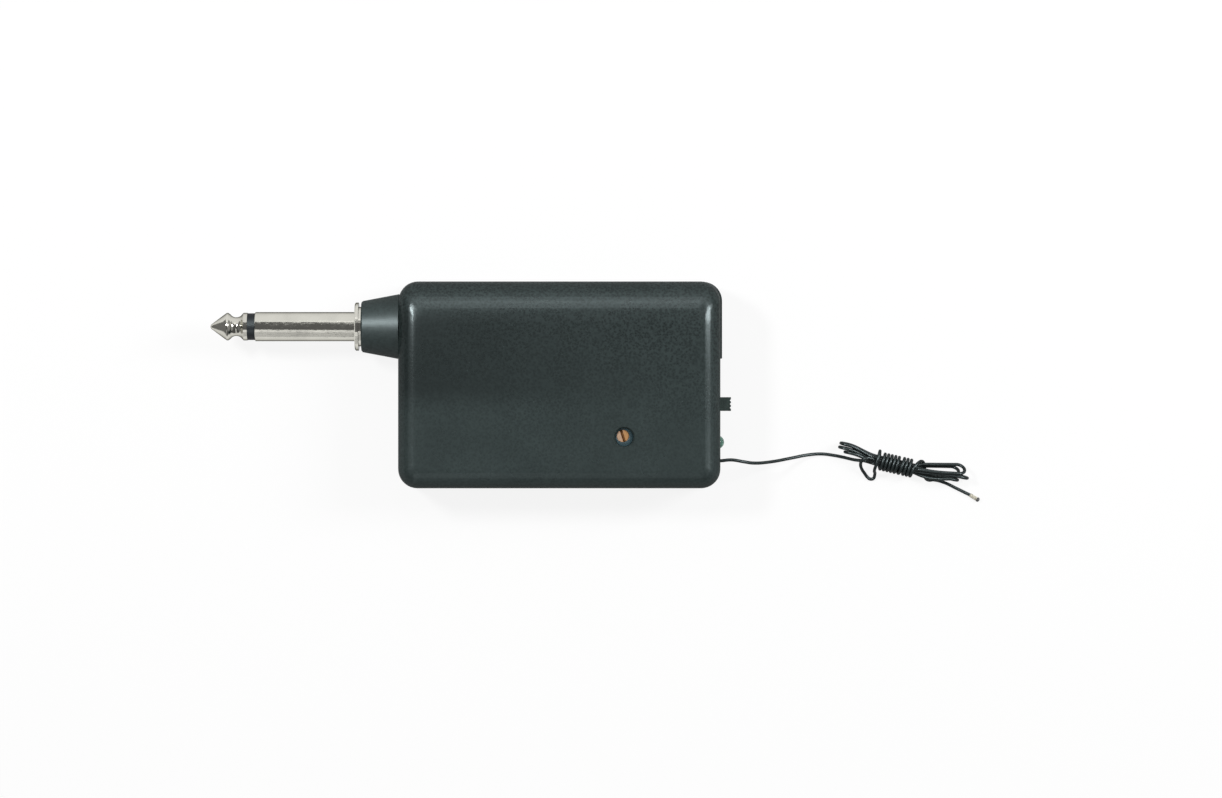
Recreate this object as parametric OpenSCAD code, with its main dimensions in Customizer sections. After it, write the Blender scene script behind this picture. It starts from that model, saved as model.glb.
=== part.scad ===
// Plug-in wireless guitar receiver: a palm-size plastic case with a quarter-inch plug on its left end,
// a slide switch, a lamp and a wire antenna on its right end, and a tuning trimmer under its front face.
// It lies on its back: +X runs from the plug to the antenna, +Y is its long top edge, +Z is its front face.

/* [Case] */
// Length of the case, without plug and switch
case_w = 70; // [69:0.5:72]
// Height of the case, across the front face
case_h = 45; // [45:0.5:47]
// Depth of the case, from back face to front face
case_d = 20; // [20:0.1:20.6]
// Wall thickness
wall = 2; // [1.9:0.05:2.1]
// Corner radius of the case seen from the front
corner_r = 4.2; // [4:0.1:5]
// Rounding of the front edge along the ends and the bottom
front_edge_r = 4.2; // [3.6:0.1:4.4]
// Rounding of the front edge along the top, over the battery
top_edge_r = 7; // [6:0.1:7]
// Rounding of the back edge
rear_edge_r = 3; // [2:0.1:3.2]
// Chamfer along the seam between the two halves
seam_chamfer = 0.2; // [0.1:0.05:0.3]

/* [Plug] */
// Diameter of the plug sleeve
plug_d = 6.35; // [6.2:0.05:6.35]
// Length of the plug from its flange to its tip
plug_len = 31.6; // [31:0.1:32]
// Distance of the plug axis above the middle of the case
plug_y = 12.7; // [12.5:0.1:12.8]
// Diameter of the plug flange
flange_d = 10.5; // [10:0.1:11]
// Length of the tapered neck outside the case
neck_len = 8.2; // [7:0.1:9]
// Diameter of the neck at its outer end
neck_small_d = 11.2; // [10.8:0.1:11.6]
// Diameter of the neck at the case
neck_large_d = 14.2; // [13.8:0.1:14.4]

/* [Battery] */
// Diameter of the cell
cell_d = 14.2; // [13.9:0.1:14.3]
// Length of the cell with its button
cell_len = 50.5; // [50:0.1:50.5]
// Lower edge of the battery door above the middle of the case
door_y = 5.6; // [5.5:0.1:5.8]
// How far the door stands proud of the right end
door_proud = 0.5; // [0.3:0.05:0.6]
// Running gap round the door
door_gap = 0.15; // [0.1:0.05:0.2]

/* [Controls] */
// Travel of the slide switch
switch_travel = 2; // [1.5:0.1:2]
// Width of the switch knob along its travel
knob_w = 3; // [2.6:0.05:3]
// Middle of the switch knob, measured from the middle of the case
knob_y = -4.2; // [-4.4:0.1:-4]
// How far the switch knob stands out of the case
knob_out = 2.35; // [2:0.05:2.6]
// Middle of the lamp, measured from the middle of the case
lamp_y = -12.5; // [-12.6:0.1:-12.3]
// Diameter of the lamp
lamp_d = 3; // [2.8:0.1:3]
// Diameter of the trimmer's access hole
access_d = 4; // [3.6:0.1:4.4]

/* [Antenna] */
// Diameter of the antenna wire with its jacket
wire_d = 0.7; // [0.65:0.01:0.72]
// Loops folded into the hank
loops = 3; // [2:1:3]
// Turns wound round the hank's waist
wraps = 8; // [6:1:8]
// Clear space between neighbouring strands
strand_gap = 0.44; // [0.42:0.01:0.46]

/* [Hidden] */
$fn = 48;

// Colours that several pieces share
case_colour = [0.2, 0.23, 0.23];
nickel = [0.75, 0.73, 0.69];
tin = [0.8, 0.79, 0.74];
steel = [0.72, 0.72, 0.74];
black = [0.08, 0.08, 0.08];
jacket = [0.13, 0.15, 0.15];

// Play on the radius of pieces that sit in each other, how far a cut runs past a face,
// and how far two shapes of one solid run into each other
fit = 0.05;
past = 1;
overlap = 0.1;

// Case
half_w = case_w / 2;
half_h = case_h / 2;
seam_z = case_d / 2;
inner_x = half_w - wall;
inner_y = half_h - wall;
inner_top = case_d - wall;
inner_edge_r = 0.8;
inner_corner_r = 0.8;
least_corner_r = 1.6;
corner_steps = 9;
edge_step = 10;
boss_at = [[-29.5, -17], [-29.5, -1.5], [23, -17.3]];
boss_d = 5.2;
rear_boss_d = 5.8;
screw_d = 2.2;
screw_head_d = 4;
screw_head_h = 1.5;
screw_seat_z = 5;
screw_len = 9;
screw_play = 0.2;
cross_l = 2;
cross_w = 0.5;
cross_h = 0.7;
pilot_h = 7;
divider_t = 1.2;
divider_y = 4;
bulkhead_x = -24;
bulkhead_t = 1.6;
rib_end_y = 19.6;
saddle_x = [-12, 18];
saddle_t = 1.6;
saddle_z = seam_z + 2;
lip_x = [-24, 18];
lip_t = 0.6;
lip_h = 1.2;
lip_root = 1.5;

// Plug, measured along X
wall_x = -half_w;
neck_x = wall_x - neck_len;
neck_bevel = 0.3;
neck_seat_d = 12.1;
neck_flange_d = 14;
neck_flange_l = 1.5;
collar_l = 0.6;
collar_d = 8.6;
flange_l = 0.8;
flange_bevel = 0.2;
flange_x = neck_x - collar_l - flange_l;
tip_x = flange_x - plug_len;
tip_l = 8.1;
ring_l = 1.7;
ring_sink = 0.25;
sleeve_bevel = 0.1;
sleeve_x = tip_x + tip_l + ring_l;
shank_d = 8;
lug_t = 0.4;
nut_l = 2.4;
nut_af = 11;
lug_x = wall_x + wall + neck_flange_l;
shank_end_x = lug_x + lug_t + nut_l + 1.2;
rod_d = 2.5;
core_d = 4;
tail_flange_d = 7;
tail_flange_l = 0.9;
tip_lug_x = shank_end_x + tail_flange_l;
rivet_d = 3.6;
rivet_l = 0.6;

// Outline of the plug tip from its point: nose, crest of the cone, waist and shoulder
nose_r = 0.7;
crest_r = 0.5;
crest_at = [3.75, 2.52];
waist_r = 1.6;
waist_at = [5.65, 3.63];
shoulder_r = 3.02;
shoulder_x = 7.25;
cone_turn = 125;
crest_turn = 35;

// Battery bay
cell_y = 12.5;
plate_t = 0.4;
positive_w = 10;
negative_w = 11.6;
cell_x = bulkhead_x + bulkhead_t + plate_t;
cell_bevel = 0.6;
button_l = 1.2;
button_d = 5.2;
button_bevel = 0.3;
cell_end_x = cell_x + cell_len;
plate_x = inner_x - plate_t;
tab_w = 1.6;
tab_z = 11.8;
tab_y = 2.3;
tab_slot = 2;
spring_wire = 0.7;
spring_turns = 3;
spring_steps = 12;
spring_lift = 1.1;
spring_tail = 0.9;
spring_r_plate = 5.2;
spring_r_cell = 2.6;

// Battery door: dovetail along the top wall, tongue in the wall between the bays, finger grooves
door_x = -24.6;
rail_root_w = 0.6;
rail_head_w = 1;
rail_root_h = 0.5;
rail_h = 0.9;
rail_end_x = inner_x - 2;
tongue_x = [door_x + 2, inner_x - 1.5];
tongue_y = [divider_y + divider_t - 0.35, door_y + 1.4];
tongue_foot_y = door_y + 0.4;
tongue_z = [wall + 0.15, wall + 1];
groove_y = divider_y + divider_t - 0.5;
groove_h = 1.2;
grips = 5;
grip_x = 24;
grip_step = 1.6;
grip_d = 0.8;
grip_l = 10;
grip_y = cell_y + 1.6;

// Board, posts that carry it and posts that hold it down
board_top = 9.6;
board_t = 1.6;
board_x = [-25, 32.4];
board_y = [-19.4, 3.4];
board_play = 0.6;
post_d = 3;
post_at = [[-23.2, -17.6], [-18, 1.9], [27.6, 1.9], [29.6, -18.2]];
clamp_at = [[-23.2, -13], [6, 2]];
pin_t = 0.5;
pin_pitch = 2.54;

// Trimmer and its access hole
trimmer_at = [13.8, -11.1];
trimmer_w = 6.2;
trimmer_h = 4.6;
trimmer_drum_d = 5.4;
access_at = [14.1, -11.4];
access_bevel = 0.3;
access_rim = 0.6;
rotor_d = 2.6;
rotor_z = 17.8;
rotor_h = 1.2;
rotor_slot_w = 0.6;
rotor_slot_h = 0.6;
rotor_turn = 18;
spindle_d = 1.2;
spindle_l = 3;

// Slide switch and lamp
control_z = 12.2;
slot_gap = 0.25;
switch_x = [28, 32.6];
switch_l = 8.8;
switch_h = 5.2;
switch_y = knob_y - switch_travel / 2;
switch_base_t = 1.3;
steel_t = 0.4;
terminal_l = 1.1;
terminal_w = 0.8;
terminal_t = 0.3;
terminal_step = 2.8;
knob_h = 2.6;
carriage_x = switch_x[0] + 1.6;
carriage_l = 4.8;
carriage_h = 2.8;
knob_grooves = 3;
knob_groove_step = 0.8;
knob_groove_d = 0.4;
lamp_x = 30.6;
lamp_tip_x = half_w + 0.9;
lamp_flange_d = 3.8;
lamp_flange_l = 1;
lamp_lead_l = 1.2;

// Receiver chip, tuning coil, capacitors and resistors
chip_at = [-4.4, -8];
chip_size = [19.2, 6.4, 3.3];
chip_lift = 0.5;
chip_pins = 8;
chip_pin = [1.4, 0.6, 0.3];
chip_pin_z = board_top + 2;
notch_d = 2;
notch_h = 0.4;
coil_at = [14, -2];
coil_w = 7.2;
coil_h = 7.4;
coil_floor = 2;
coil_core_d = 4;
coil_core_h = 4.6;
coil_slot_w = 0.8;
coil_slot_h = 0.8;
capacitor_at = [[-18.5, -14.5], [-12, -15.6], [4, -15.4]];
capacitor_r = 2.5;
capacitor_h = 7;
capacitor_crimp = 0.3;
resistor_at = [[-14, 0.6], [-4, 0.6], [22, -6], [22, -9.6]];
resistor_d = 2.2;
resistor_l = 5.6;
resistor_span = 8;

// Inside wires
inner_wire_d = 0.9;
sleeve_wire_route = [[lug_x + lug_t, 4.9, seam_z], [lug_x + 1.4, 4.9, seam_z], [-28, 3, 10.8],
    [-25.4, 1, 11], [-23.8, -0.8, 10.8], [-23.4, -1.1, 10.4], [-23.4, -1.1, board_top]];
tip_wire_route = [[tip_lug_x + lug_t, 8.3, seam_z], [tip_lug_x + 1, 8.3, seam_z], [-25.2, 6.4, 10.3],
    [-25.2, 4.4, 11], [-24.4, 2.9, 11.2], [-22.9, 1.4, 10.8], [-22.6, 1.2, 10.4], [-22.6, 1.2, board_top]];
positive_wire_route = [[cell_x, 2.9, tab_z], [cell_x + 0.9, 2.9, tab_z], [-20.4, 2.6, 11.4],
    [-20.1, 2.2, 10.6], [-20.1, 2.2, board_top]];
negative_wire_route = [[plate_x, 2.9, tab_z], [plate_x - 0.9, 2.9, tab_z], [31, 2.6, 11.4],
    [30.7, 2.2, 10.6], [30.7, 2.2, board_top]];

// Antenna lead, from the board through the right end and down to the table
tube_sides = 8;
loop_sides = 6;
smooth_steps = 3;
lead_y = -16.6;
hole_play = 0.3;
lead_route = [[28.2, lead_y, board_top + wire_d], [28.7, lead_y, 10.6], [30, lead_y, 10.6],
    [32, lead_y, 10.1], [35, lead_y, 10], [37.5, -16.4, 10], [40.2, -16.8, 9.5], [42.2, -17.1, 8.4],
    [46.1, -16.9, 5.6], [50.8, -16.1, 2.6], [54.6, -15.4, 1.1], [57.6, -15.25, 0.5], [60.2, -15.65, 0.4]];

// Antenna hank in its own frame: x along the bundle, z up from the table
strand_step = wire_d + strand_gap;
floor_z = wire_d / 2 + 0.05;
hank_at = [74, -17.1, 0];
hank_turn = -13;
hank_bow = 0.006;
run_left = -11.4;
run_right = 13.8;
first_x = -4.5;
last_x = -7;
waist_left = 5;
waist_right = 5.5;
end_r = 1.4;
left_push = 0.4;
right_push = 1;
reach = [0, -1.1, 0.5];
climb_out = 0.42;
climb_end = 0.5;
climb_back = 0.92;
run_steps = 9;
bend_steps = 6;
wrap_steps = 16;
wrap_half_y = 1.9;
wrap_half_z = 2.95;
wrap_square = 0.7;
wrap_x = -4.3;
wrap_turns = [10, 360 * wraps - 85];
wrap_z = floor_z + wrap_half_z;
stack_z = wrap_z - 1.48 * strand_step;
fold_z = stack_z + strand_step * loops;
hank_in = [-9.6, -1.9, floor_z];
lead_in = [[-7.6, -1.85, 0.6], [-6, -1.2, 1.2]];
droop = [[-7.9, 0.5, fold_z - 0.05], [-8.5, -0.6, fold_z + 0.15], [-8.2, -1.9, fold_z - 0.4],
    [-7.6, -2.9, 3.4], [-6.9, -3.7, 2], [-6.1, -4.4, 0.9], [-5.2, -4.8, 0.45], [-4.5, -4.5, 0.45],
    [-4.25, -3.8, 0.75], [-4.3, -3, 1.4], [-4.35, -2.3, 2.3]];
lead_out = [[5.1, -1.5, floor_z], [5.9, -2.2, floor_z], [7, -2.5, floor_z]];
hank_out = [8.6, -2.75, floor_z];
hank_out_step = wire_d * [0.96, -0.28, 0];
tail_route = [[11.5, -3.3, floor_z], [14.5, -3.6, floor_z], [16.6, -3.9, floor_z]];
tail_end = [17.3, -4, floor_z];
tip_bare_l = 1.9;
bare_d = 0.5;
gap_steps = 4;
gap_skip = 2.4 * strand_step;

// Small helpers
function unit(v) = v / norm(v);
function lerp(a, b, t) = a + (b - a) * t;
function ease(t) = let (c = max(0, min(1, t))) c * c * (3 - 2 * c);
function polar(r, a) = r * [cos(a), sin(a)];
function arc(c, r, a0, a1, n) = [for (i = [0:n]) c + polar(r, lerp(a0, a1, i / n))];

// A smooth line through hand-chosen points, n steps to each stretch
function between(a, b, c, d, t) =
    0.5 * (2 * b + (c - a) * t + (2 * a - 5 * b + 4 * c - d) * t * t + (3 * b - a - 3 * c + d) * t * t * t);
function smooth(p, n) = let (last = len(p) - 1) concat(
    [for (i = [0:last - 1]) for (s = [0:n - 1])
        between(p[max(i - 1, 0)], p[i], p[i + 1], p[min(i + 2, last)], s / n)],
    [p[last]]);

// Skin over rings of n points each, as triangles
function skin_faces(rings, n) = concat(
    [for (j = [1:n - 2]) [0, j, j + 1]],
    [for (i = [0:rings - 2]) for (j = [0:n - 1]) let (k = (j + 1) % n) each [
        [i * n + j, (i + 1) * n + j, (i + 1) * n + k],
        [i * n + j, (i + 1) * n + k, i * n + k]]],
    [for (j = [1:n - 2]) [(rings - 1) * n, (rings - 1) * n + j + 1, (rings - 1) * n + j]]);

module loft(rings) polyhedron([for (ring = rings) each ring], skin_faces(len(rings), len(rings[0])));

// A round wire along a path, turned as little as possible from ring to ring
module tube(path, d, sides) {
    last = len(path) - 1;
    along = [for (i = [0:last]) unit(path[min(i + 1, last)] - path[max(i - 1, 0)])];
    first = unit(cross(along[0], abs(along[0].z) < 0.9 ? [0, 0, 1] : [1, 0, 0]));
    side = [for (i = 0, u = first; i <= last;
        i = i + 1, u = unit(u - (u * along[min(i, last)]) * along[min(i, last)])) u];
    function rim(i, p) = path[i] + p.x * side[i] + p.y * cross(along[i], side[i]);
    loft([for (i = [0:last]) [for (j = [0:sides - 1]) rim(i, polar(d / 2, 360 * j / sides))]]);
}

module box(low, high) translate(low) cube(high - low);
module post(at, z0, z1, d) translate([at.x, at.y, z0]) cylinder(h = z1 - z0, d = d);
module along_x(x, y, z) translate([x, y, z]) rotate([0, 90, 0]) children();
module rod_x(x0, x1, y, z, d) along_x(x0, y, z) cylinder(h = x1 - x0, d = d);
module on_plug() along_x(0, plug_y, seam_z) children();
module on_board(at) translate([at.x, at.y, board_top]) children();

// Case form: a stack of round-cornered outlines that draw in towards a face
function edge_inset(depth, r) = depth >= r ? 0 : r - sqrt(max(0, r * r - (r - depth) * (r - depth)));
function edge_depths(r) = [for (a = [0:edge_step:90]) r * (1 - sin(a))];
function backwards(list) = [for (i = [len(list) - 1:-1:0]) list[i]];
function outline(side, top, r, z) = let (
    x = half_w - side,
    y1 = half_h - top,
    y0 = side - half_h,
    flat = concat(
        arc([x - r, y1 - r], r, 0, 90, corner_steps),
        arc([r - x, y1 - r], r, 90, 180, corner_steps),
        arc([r - x, y0 + r], r, 180, 270, corner_steps),
        arc([x - r, y0 + r], r, 270, 360, corner_steps)))
    [for (p = flat) [p.x, p.y, z]];
function ring_at(depth, z, inset, side_r, top_r) = let (
    side = inset + edge_inset(depth, side_r),
    top = inset + edge_inset(depth, top_r),
    r = inset < wall ? max(corner_r - side, least_corner_r) : inner_corner_r)
    outline(side, top, r, z);

// Depths of two roundings as one list, deepest first, without near doubles
function deepest_first(list) = len(list) == 0 ? [] : let (deepest = max(list))
    concat(deepest, deepest_first([for (v = list) if (v < deepest - 0.02) v]));

module front_form() {
    depths = deepest_first(concat(edge_depths(front_edge_r), edge_depths(top_edge_r)));
    loft(concat(
        [ring_at(case_d, seam_z, seam_chamfer, front_edge_r, top_edge_r)],
        [ring_at(case_d, seam_z + seam_chamfer, 0, front_edge_r, top_edge_r)],
        [for (t = depths) ring_at(t, case_d - t, 0, front_edge_r, top_edge_r)]));
}

module front_hollow() {
    inner_top_r = top_edge_r - wall;
    depths = deepest_first(concat(edge_depths(inner_edge_r), edge_depths(inner_top_r)));
    loft(concat(
        [ring_at(case_d, seam_z - overlap, wall, inner_edge_r, inner_top_r)],
        [for (t = depths) ring_at(t, inner_top - t, wall, inner_edge_r, inner_top_r)]));
}

module rear_form() loft(concat(
    [for (t = backwards(edge_depths(rear_edge_r))) ring_at(t, t, 0, rear_edge_r, rear_edge_r)],
    [ring_at(case_d, seam_z - seam_chamfer, 0, rear_edge_r, rear_edge_r)],
    [ring_at(case_d, seam_z, seam_chamfer, rear_edge_r, rear_edge_r)]));

module rear_hollow() loft(concat(
    [for (t = backwards(edge_depths(inner_edge_r))) ring_at(t, wall + t, wall, inner_edge_r, inner_edge_r)],
    [ring_at(case_d, seam_z + overlap, wall, inner_edge_r, inner_edge_r)]));

// Dovetail that guides the door along the top wall, grown by the running gap for its groove
module door_rail(x0, x1, grow) {
    root = rail_root_w / 2 + grow;
    head = rail_head_w / 2 + grow;
    along_x(x0, half_h - wall / 2, seam_z) rotate([0, 0, 90]) linear_extrude(x1 - x0)
        polygon([[-root, -rail_root_h], [root, -rail_root_h], [head, rail_h + grow], [-head, rail_h + grow]]);
}

module neck_seat() rod_x(wall_x - past, wall_x + wall + past, plug_y, seam_z, neck_seat_d + 2 * fit);
module antenna_hole() rod_x(inner_x - past, half_w + past, lead_y, seam_z, wire_d + hole_play);

// Window that the knob slides in, with a gap all round
module knob_window(x0, x1) {
    reach_y = (knob_w + switch_travel) / 2 + slot_gap;
    reach_z = knob_h / 2 + slot_gap;
    box([x0, switch_y - reach_y, control_z - reach_z], [x1, switch_y + reach_y, control_z + reach_z]);
}

module access_hole() {
    post(access_at, inner_top - past, case_d + past, access_d);
    translate([access_at.x, access_at.y, case_d - access_bevel])
        cylinder(h = 2 * access_bevel, d1 = access_d, d2 = access_d + 2 * access_rim);
}

// Bulkhead behind the plug, wall between the two bays and saddles for the cell
module front_ribs() difference() {
    union() {
        box([bulkhead_x, door_y, wall + 0.4], [bulkhead_x + bulkhead_t, rib_end_y, inner_top + overlap]);
        box([bulkhead_x, divider_y, seam_z], [inner_x + overlap, divider_y + divider_t, inner_top + overlap]);
        for (x = saddle_x)
            box([x, divider_y, saddle_z], [x + saddle_t, rib_end_y, inner_top + overlap]);
    }
    rod_x(bulkhead_x + bulkhead_t + 0.01, inner_x, cell_y, seam_z, cell_d + 2 * fit);
    for (x = [cell_x, plate_x])
        box([x - tab_slot / 2, divider_y - past, seam_z - past],
            [x + tab_slot / 2, divider_y + divider_t + overlap, tab_z + tab_w]);
}

module front_shell() color(case_colour) difference() {
    union() {
        difference() {
            front_form();
            front_hollow();
        }
        for (p = boss_at)
            post(p, seam_z, inner_top + overlap, boss_d);
        for (p = clamp_at)
            post(p, board_top, inner_top + overlap, post_d);
        front_ribs();
    }
    for (p = boss_at)
        post(p, seam_z - past, seam_z + pilot_h, screw_d + 2 * fit);
    access_hole();
    rod_x(inner_x - past, half_w + past, lamp_y, control_z, lamp_d + 4 * fit);
    knob_window(inner_x - past, half_w + past);
    neck_seat();
    antenna_hole();
    door_rail(door_x, half_w + past, door_gap);
}

// The part of the back that the door fills, drawn in by the running gap for the door itself
module door_space(gap, top)
    box([door_x + gap, door_y + gap, -past], [half_w + past, half_h + past, top]);

// Lip along the bottom that keeps the two halves in line
module seam_lip() {
    lip_y = overlap - inner_y;
    root_z = seam_z - lip_root;
    box([lip_x[0], -inner_y - overlap, root_z], [lip_x[1], lip_y + lip_t, seam_z - overlap]);
    box([lip_x[0], lip_y, root_z], [lip_x[1], lip_y + lip_t, seam_z + lip_h]);
}

module rear_shell() color(case_colour) difference() {
    union() {
        difference() {
            rear_form();
            rear_hollow();
            door_space(0, seam_z + past);
        }
        for (p = boss_at)
            post(p, wall - overlap, seam_z, rear_boss_d);
        for (p = post_at)
            post(p, wall - overlap, board_top - board_t, post_d);
        box([bulkhead_x, divider_y, wall - overlap], [inner_x + overlap, divider_y + divider_t, seam_z]);
        seam_lip();
    }
    for (p = boss_at) {
        post(p, -past, screw_seat_z, screw_head_d + 2 * screw_play);
        post(p, 0, seam_z + past, screw_d + screw_play);
    }
    neck_seat();
    antenna_hole();
    box([bulkhead_x - past, groove_y, wall], [half_w + past, door_y + overlap, wall + groove_h]);
}

module battery_door() color(case_colour) translate([door_proud, 0, 0]) difference() {
    union() {
        intersection() {
            difference() {
                rear_form();
                rear_hollow();
            }
            door_space(door_gap, seam_z - door_gap);
        }
        box([tongue_x[0], tongue_y[0], tongue_z[0]], [tongue_x[1], tongue_y[1], tongue_z[1]]);
        box([tongue_x[0], tongue_foot_y, wall - overlap], [tongue_x[1], tongue_y[1], tongue_z[1]]);
        door_rail(door_x + door_gap, rail_end_x, 0);
    }
    for (i = [0:grips - 1])
        translate([grip_x + grip_step * i, grip_y, 0]) rotate([90, 0, 0])
            cylinder(h = grip_l, d = grip_d, center = true);
}

module case_screws() color(steel) for (p = boss_at) difference() {
    union() {
        translate([p.x, p.y, screw_seat_z - screw_head_h])
            cylinder(h = screw_head_h, d1 = screw_head_d - 1, d2 = screw_head_d);
        post(p, screw_seat_z, screw_seat_z + screw_len, screw_d);
    }
    for (turn = [0, 90])
        translate([p.x, p.y, screw_seat_z - screw_head_h]) rotate([0, 0, turn])
            box([-cross_l / 2, -cross_w / 2, -past], [cross_l / 2, cross_w / 2, cross_h]);
}

module plug_neck() color(case_colour) on_plug() rotate_extrude() polygon([
    [shank_d / 2 + fit, neck_x], [neck_small_d / 2 - neck_bevel, neck_x],
    [neck_small_d / 2, neck_x + neck_bevel], [neck_large_d / 2, wall_x], [neck_seat_d / 2, wall_x],
    [neck_seat_d / 2, wall_x + wall], [neck_flange_d / 2, wall_x + wall], [neck_flange_d / 2, lug_x],
    [shank_d / 2 + fit, lug_x]]);

module plug_sleeve() color(nickel) on_plug() rotate_extrude() polygon([
    [core_d / 2, sleeve_x], [plug_d / 2 - sleeve_bevel, sleeve_x], [plug_d / 2, sleeve_x + sleeve_bevel],
    [plug_d / 2, flange_x], [flange_d / 2 - flange_bevel, flange_x], [flange_d / 2, flange_x + flange_bevel],
    [flange_d / 2, flange_x + flange_l], [collar_d / 2, flange_x + flange_l], [collar_d / 2, neck_x],
    [shank_d / 2, neck_x], [shank_d / 2, shank_end_x], [core_d / 2, shank_end_x]]);

module plug_insulator() color(black) on_plug() rotate_extrude() polygon([
    [rod_d / 2 + fit, tip_x + tip_l], [plug_d / 2 - ring_sink, tip_x + tip_l],
    [plug_d / 2 - ring_sink, sleeve_x],
    [core_d / 2 - fit, sleeve_x], [core_d / 2 - fit, shank_end_x], [tail_flange_d / 2, shank_end_x],
    [tail_flange_d / 2, tip_lug_x], [rod_d / 2 + fit, tip_lug_x]]);

// Rounded cone, waist and shoulder of the tip, then the rod back through the sleeve and its riveted end
module plug_tip() color(nickel) on_plug() translate([0, 0, tip_x]) {
    lug_end = tip_lug_x + lug_t - tip_x;
    line = concat(
        arc([nose_r, 0], nose_r, 180, cone_turn, 4),
        arc(crest_at, crest_r, cone_turn, crest_turn, 6),
        arc(waist_at, waist_r, 180 + crest_turn, 360 - crest_turn, 10),
        [[shoulder_x, shoulder_r], [tip_l, shoulder_r], [tip_l, rod_d / 2], [lug_end, rod_d / 2],
            [lug_end, rivet_d / 2], [lug_end + rivet_l / 2, rivet_d / 2 - 0.2], [lug_end + rivet_l, 0]]);
    rotate_extrude() polygon([for (p = line) [max(p.y, 0), p.x]]);
}

module plug_nut() color(nickel) along_x(lug_x + lug_t, plug_y, seam_z) difference() {
    cylinder(h = nut_l, d = nut_af / cos(30), $fn = 6);
    translate([0, 0, -past]) cylinder(h = nut_l + 2 * past, d = shank_d + 2 * fit);
}

// Ring terminal with a tab towards the board
module ring_lug(x, bore, d, tab_end) difference() {
    union() {
        rod_x(x, x + lug_t, plug_y, seam_z, d);
        box([x, tab_end, seam_z - 1], [x + lug_t, plug_y - bore / 2, seam_z + 1]);
    }
    rod_x(x - past, x + lug_t + past, plug_y, seam_z, bore);
}

module sleeve_lug() color(tin) ring_lug(lug_x, shank_d + 2 * fit, 12, 4);
module tip_lug() color(tin) ring_lug(tip_lug_x, rod_d + 2 * fit, 5.2, 7.6);

module circuit_board() color([0.12, 0.35, 0.18]) difference() {
    box([board_x[0], board_y[0], board_top - board_t], [board_x[1], board_y[1], board_top]);
    for (p = boss_at)
        post(p, 0, case_d, boss_d + 2 * board_play);
}

module trimmer_body() color([0.1, 0.45, 0.55]) on_board(trimmer_at) difference() {
    union() {
        translate([0, 0, trimmer_h / 2]) cube([trimmer_w, trimmer_w, trimmer_h], center = true);
        cylinder(h = rotor_z - fit - board_top, d = trimmer_drum_d);
    }
    translate([0, 0, rotor_z - spindle_l - past - board_top])
        cylinder(h = spindle_l + 2 * past, d = spindle_d + 2 * fit);
}

module trimmer_rotor() color([0.72, 0.5, 0.36]) difference() {
    union() {
        post(trimmer_at, rotor_z, rotor_z + rotor_h, rotor_d);
        post(trimmer_at, rotor_z - spindle_l, rotor_z, spindle_d);
    }
    translate([trimmer_at.x, trimmer_at.y, rotor_z + rotor_h]) rotate([0, 0, rotor_turn])
        box([-rotor_slot_w / 2, -rotor_d, -rotor_slot_h], [rotor_slot_w / 2, rotor_d, past]);
}

// Folded steel channel with a window for the knob
module switch_frame() color(steel) translate([0, switch_y, board_top]) difference() {
    box([switch_x[0], -switch_l / 2, 0], [switch_x[1], switch_l / 2, switch_h]);
    box([switch_x[0] - past, -switch_l / 2 - past, steel_t],
        [switch_x[1] - steel_t, switch_l / 2 + past, switch_h - steel_t]);
    translate([0, -switch_y, -board_top]) knob_window(switch_x[0], switch_x[1] + past);
}

module switch_base() color([0.3, 0.18, 0.1]) translate([switch_x[0], switch_y, board_top])
    box([0, -switch_l / 2, steel_t], [switch_base_t, switch_l / 2, switch_h - steel_t]);

module switch_terminals() color(tin) for (i = [-1:1])
    translate([switch_x[0] - terminal_l, switch_y + terminal_step * i, 0]) {
        top = control_z + terminal_t / 2;
        box([0, -terminal_w / 2, top - terminal_t], [terminal_l, terminal_w / 2, top]);
        box([0, -terminal_w / 2, board_top], [terminal_t, terminal_w / 2, top]);
    }

// Sliding carriage inside the frame and the ribbed knob outside the case
module switch_knob() color([0.1, 0.12, 0.12]) translate([0, knob_y, control_z]) difference() {
    union() {
        box([carriage_x, -carriage_l / 2, -carriage_h / 2],
            [switch_x[1] - steel_t - slot_gap, carriage_l / 2, carriage_h / 2]);
        box([carriage_x, -knob_w / 2, -knob_h / 2], [half_w + knob_out, knob_w / 2, knob_h / 2]);
    }
    for (i = [0:knob_grooves - 1])
        translate([half_w + knob_out, knob_groove_step * (i - (knob_grooves - 1) / 2), 0])
            cylinder(h = knob_h + past, d = knob_groove_d, center = true);
}

module lamp_lens() color([0.4, 0.55, 0.48]) {
    dome_x = lamp_tip_x - lamp_d / 2;
    rod_x(lamp_x, lamp_x + lamp_flange_l, lamp_y, control_z, lamp_flange_d);
    rod_x(lamp_x, dome_x, lamp_y, control_z, lamp_d);
    intersection() {
        translate([dome_x, lamp_y, control_z]) sphere(d = lamp_d);
        rod_x(lamp_x, lamp_tip_x + past, lamp_y, control_z, lamp_d);
    }
}

module lamp_leads() color(tin) for (side = [-1, 1])
    translate([lamp_x - lamp_lead_l, lamp_y + side * pin_pitch / 2, 0]) {
        box([0, -pin_t / 2, control_z - pin_t / 2], [lamp_lead_l, pin_t / 2, control_z + pin_t / 2]);
        box([0, -pin_t / 2, board_top], [pin_t, pin_t / 2, control_z]);
    }

module battery_cell() color([0.25, 0.25, 0.27]) along_x(cell_x, cell_y, seam_z) rotate_extrude() polygon([
    [0, 0], [button_d / 2 - button_bevel, 0], [button_d / 2, button_bevel], [button_d / 2, button_l],
    [cell_d / 2 - cell_bevel, button_l], [cell_d / 2, button_l + cell_bevel],
    [cell_d / 2, cell_len - cell_bevel], [cell_d / 2 - cell_bevel, cell_len], [0, cell_len]]);

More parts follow.
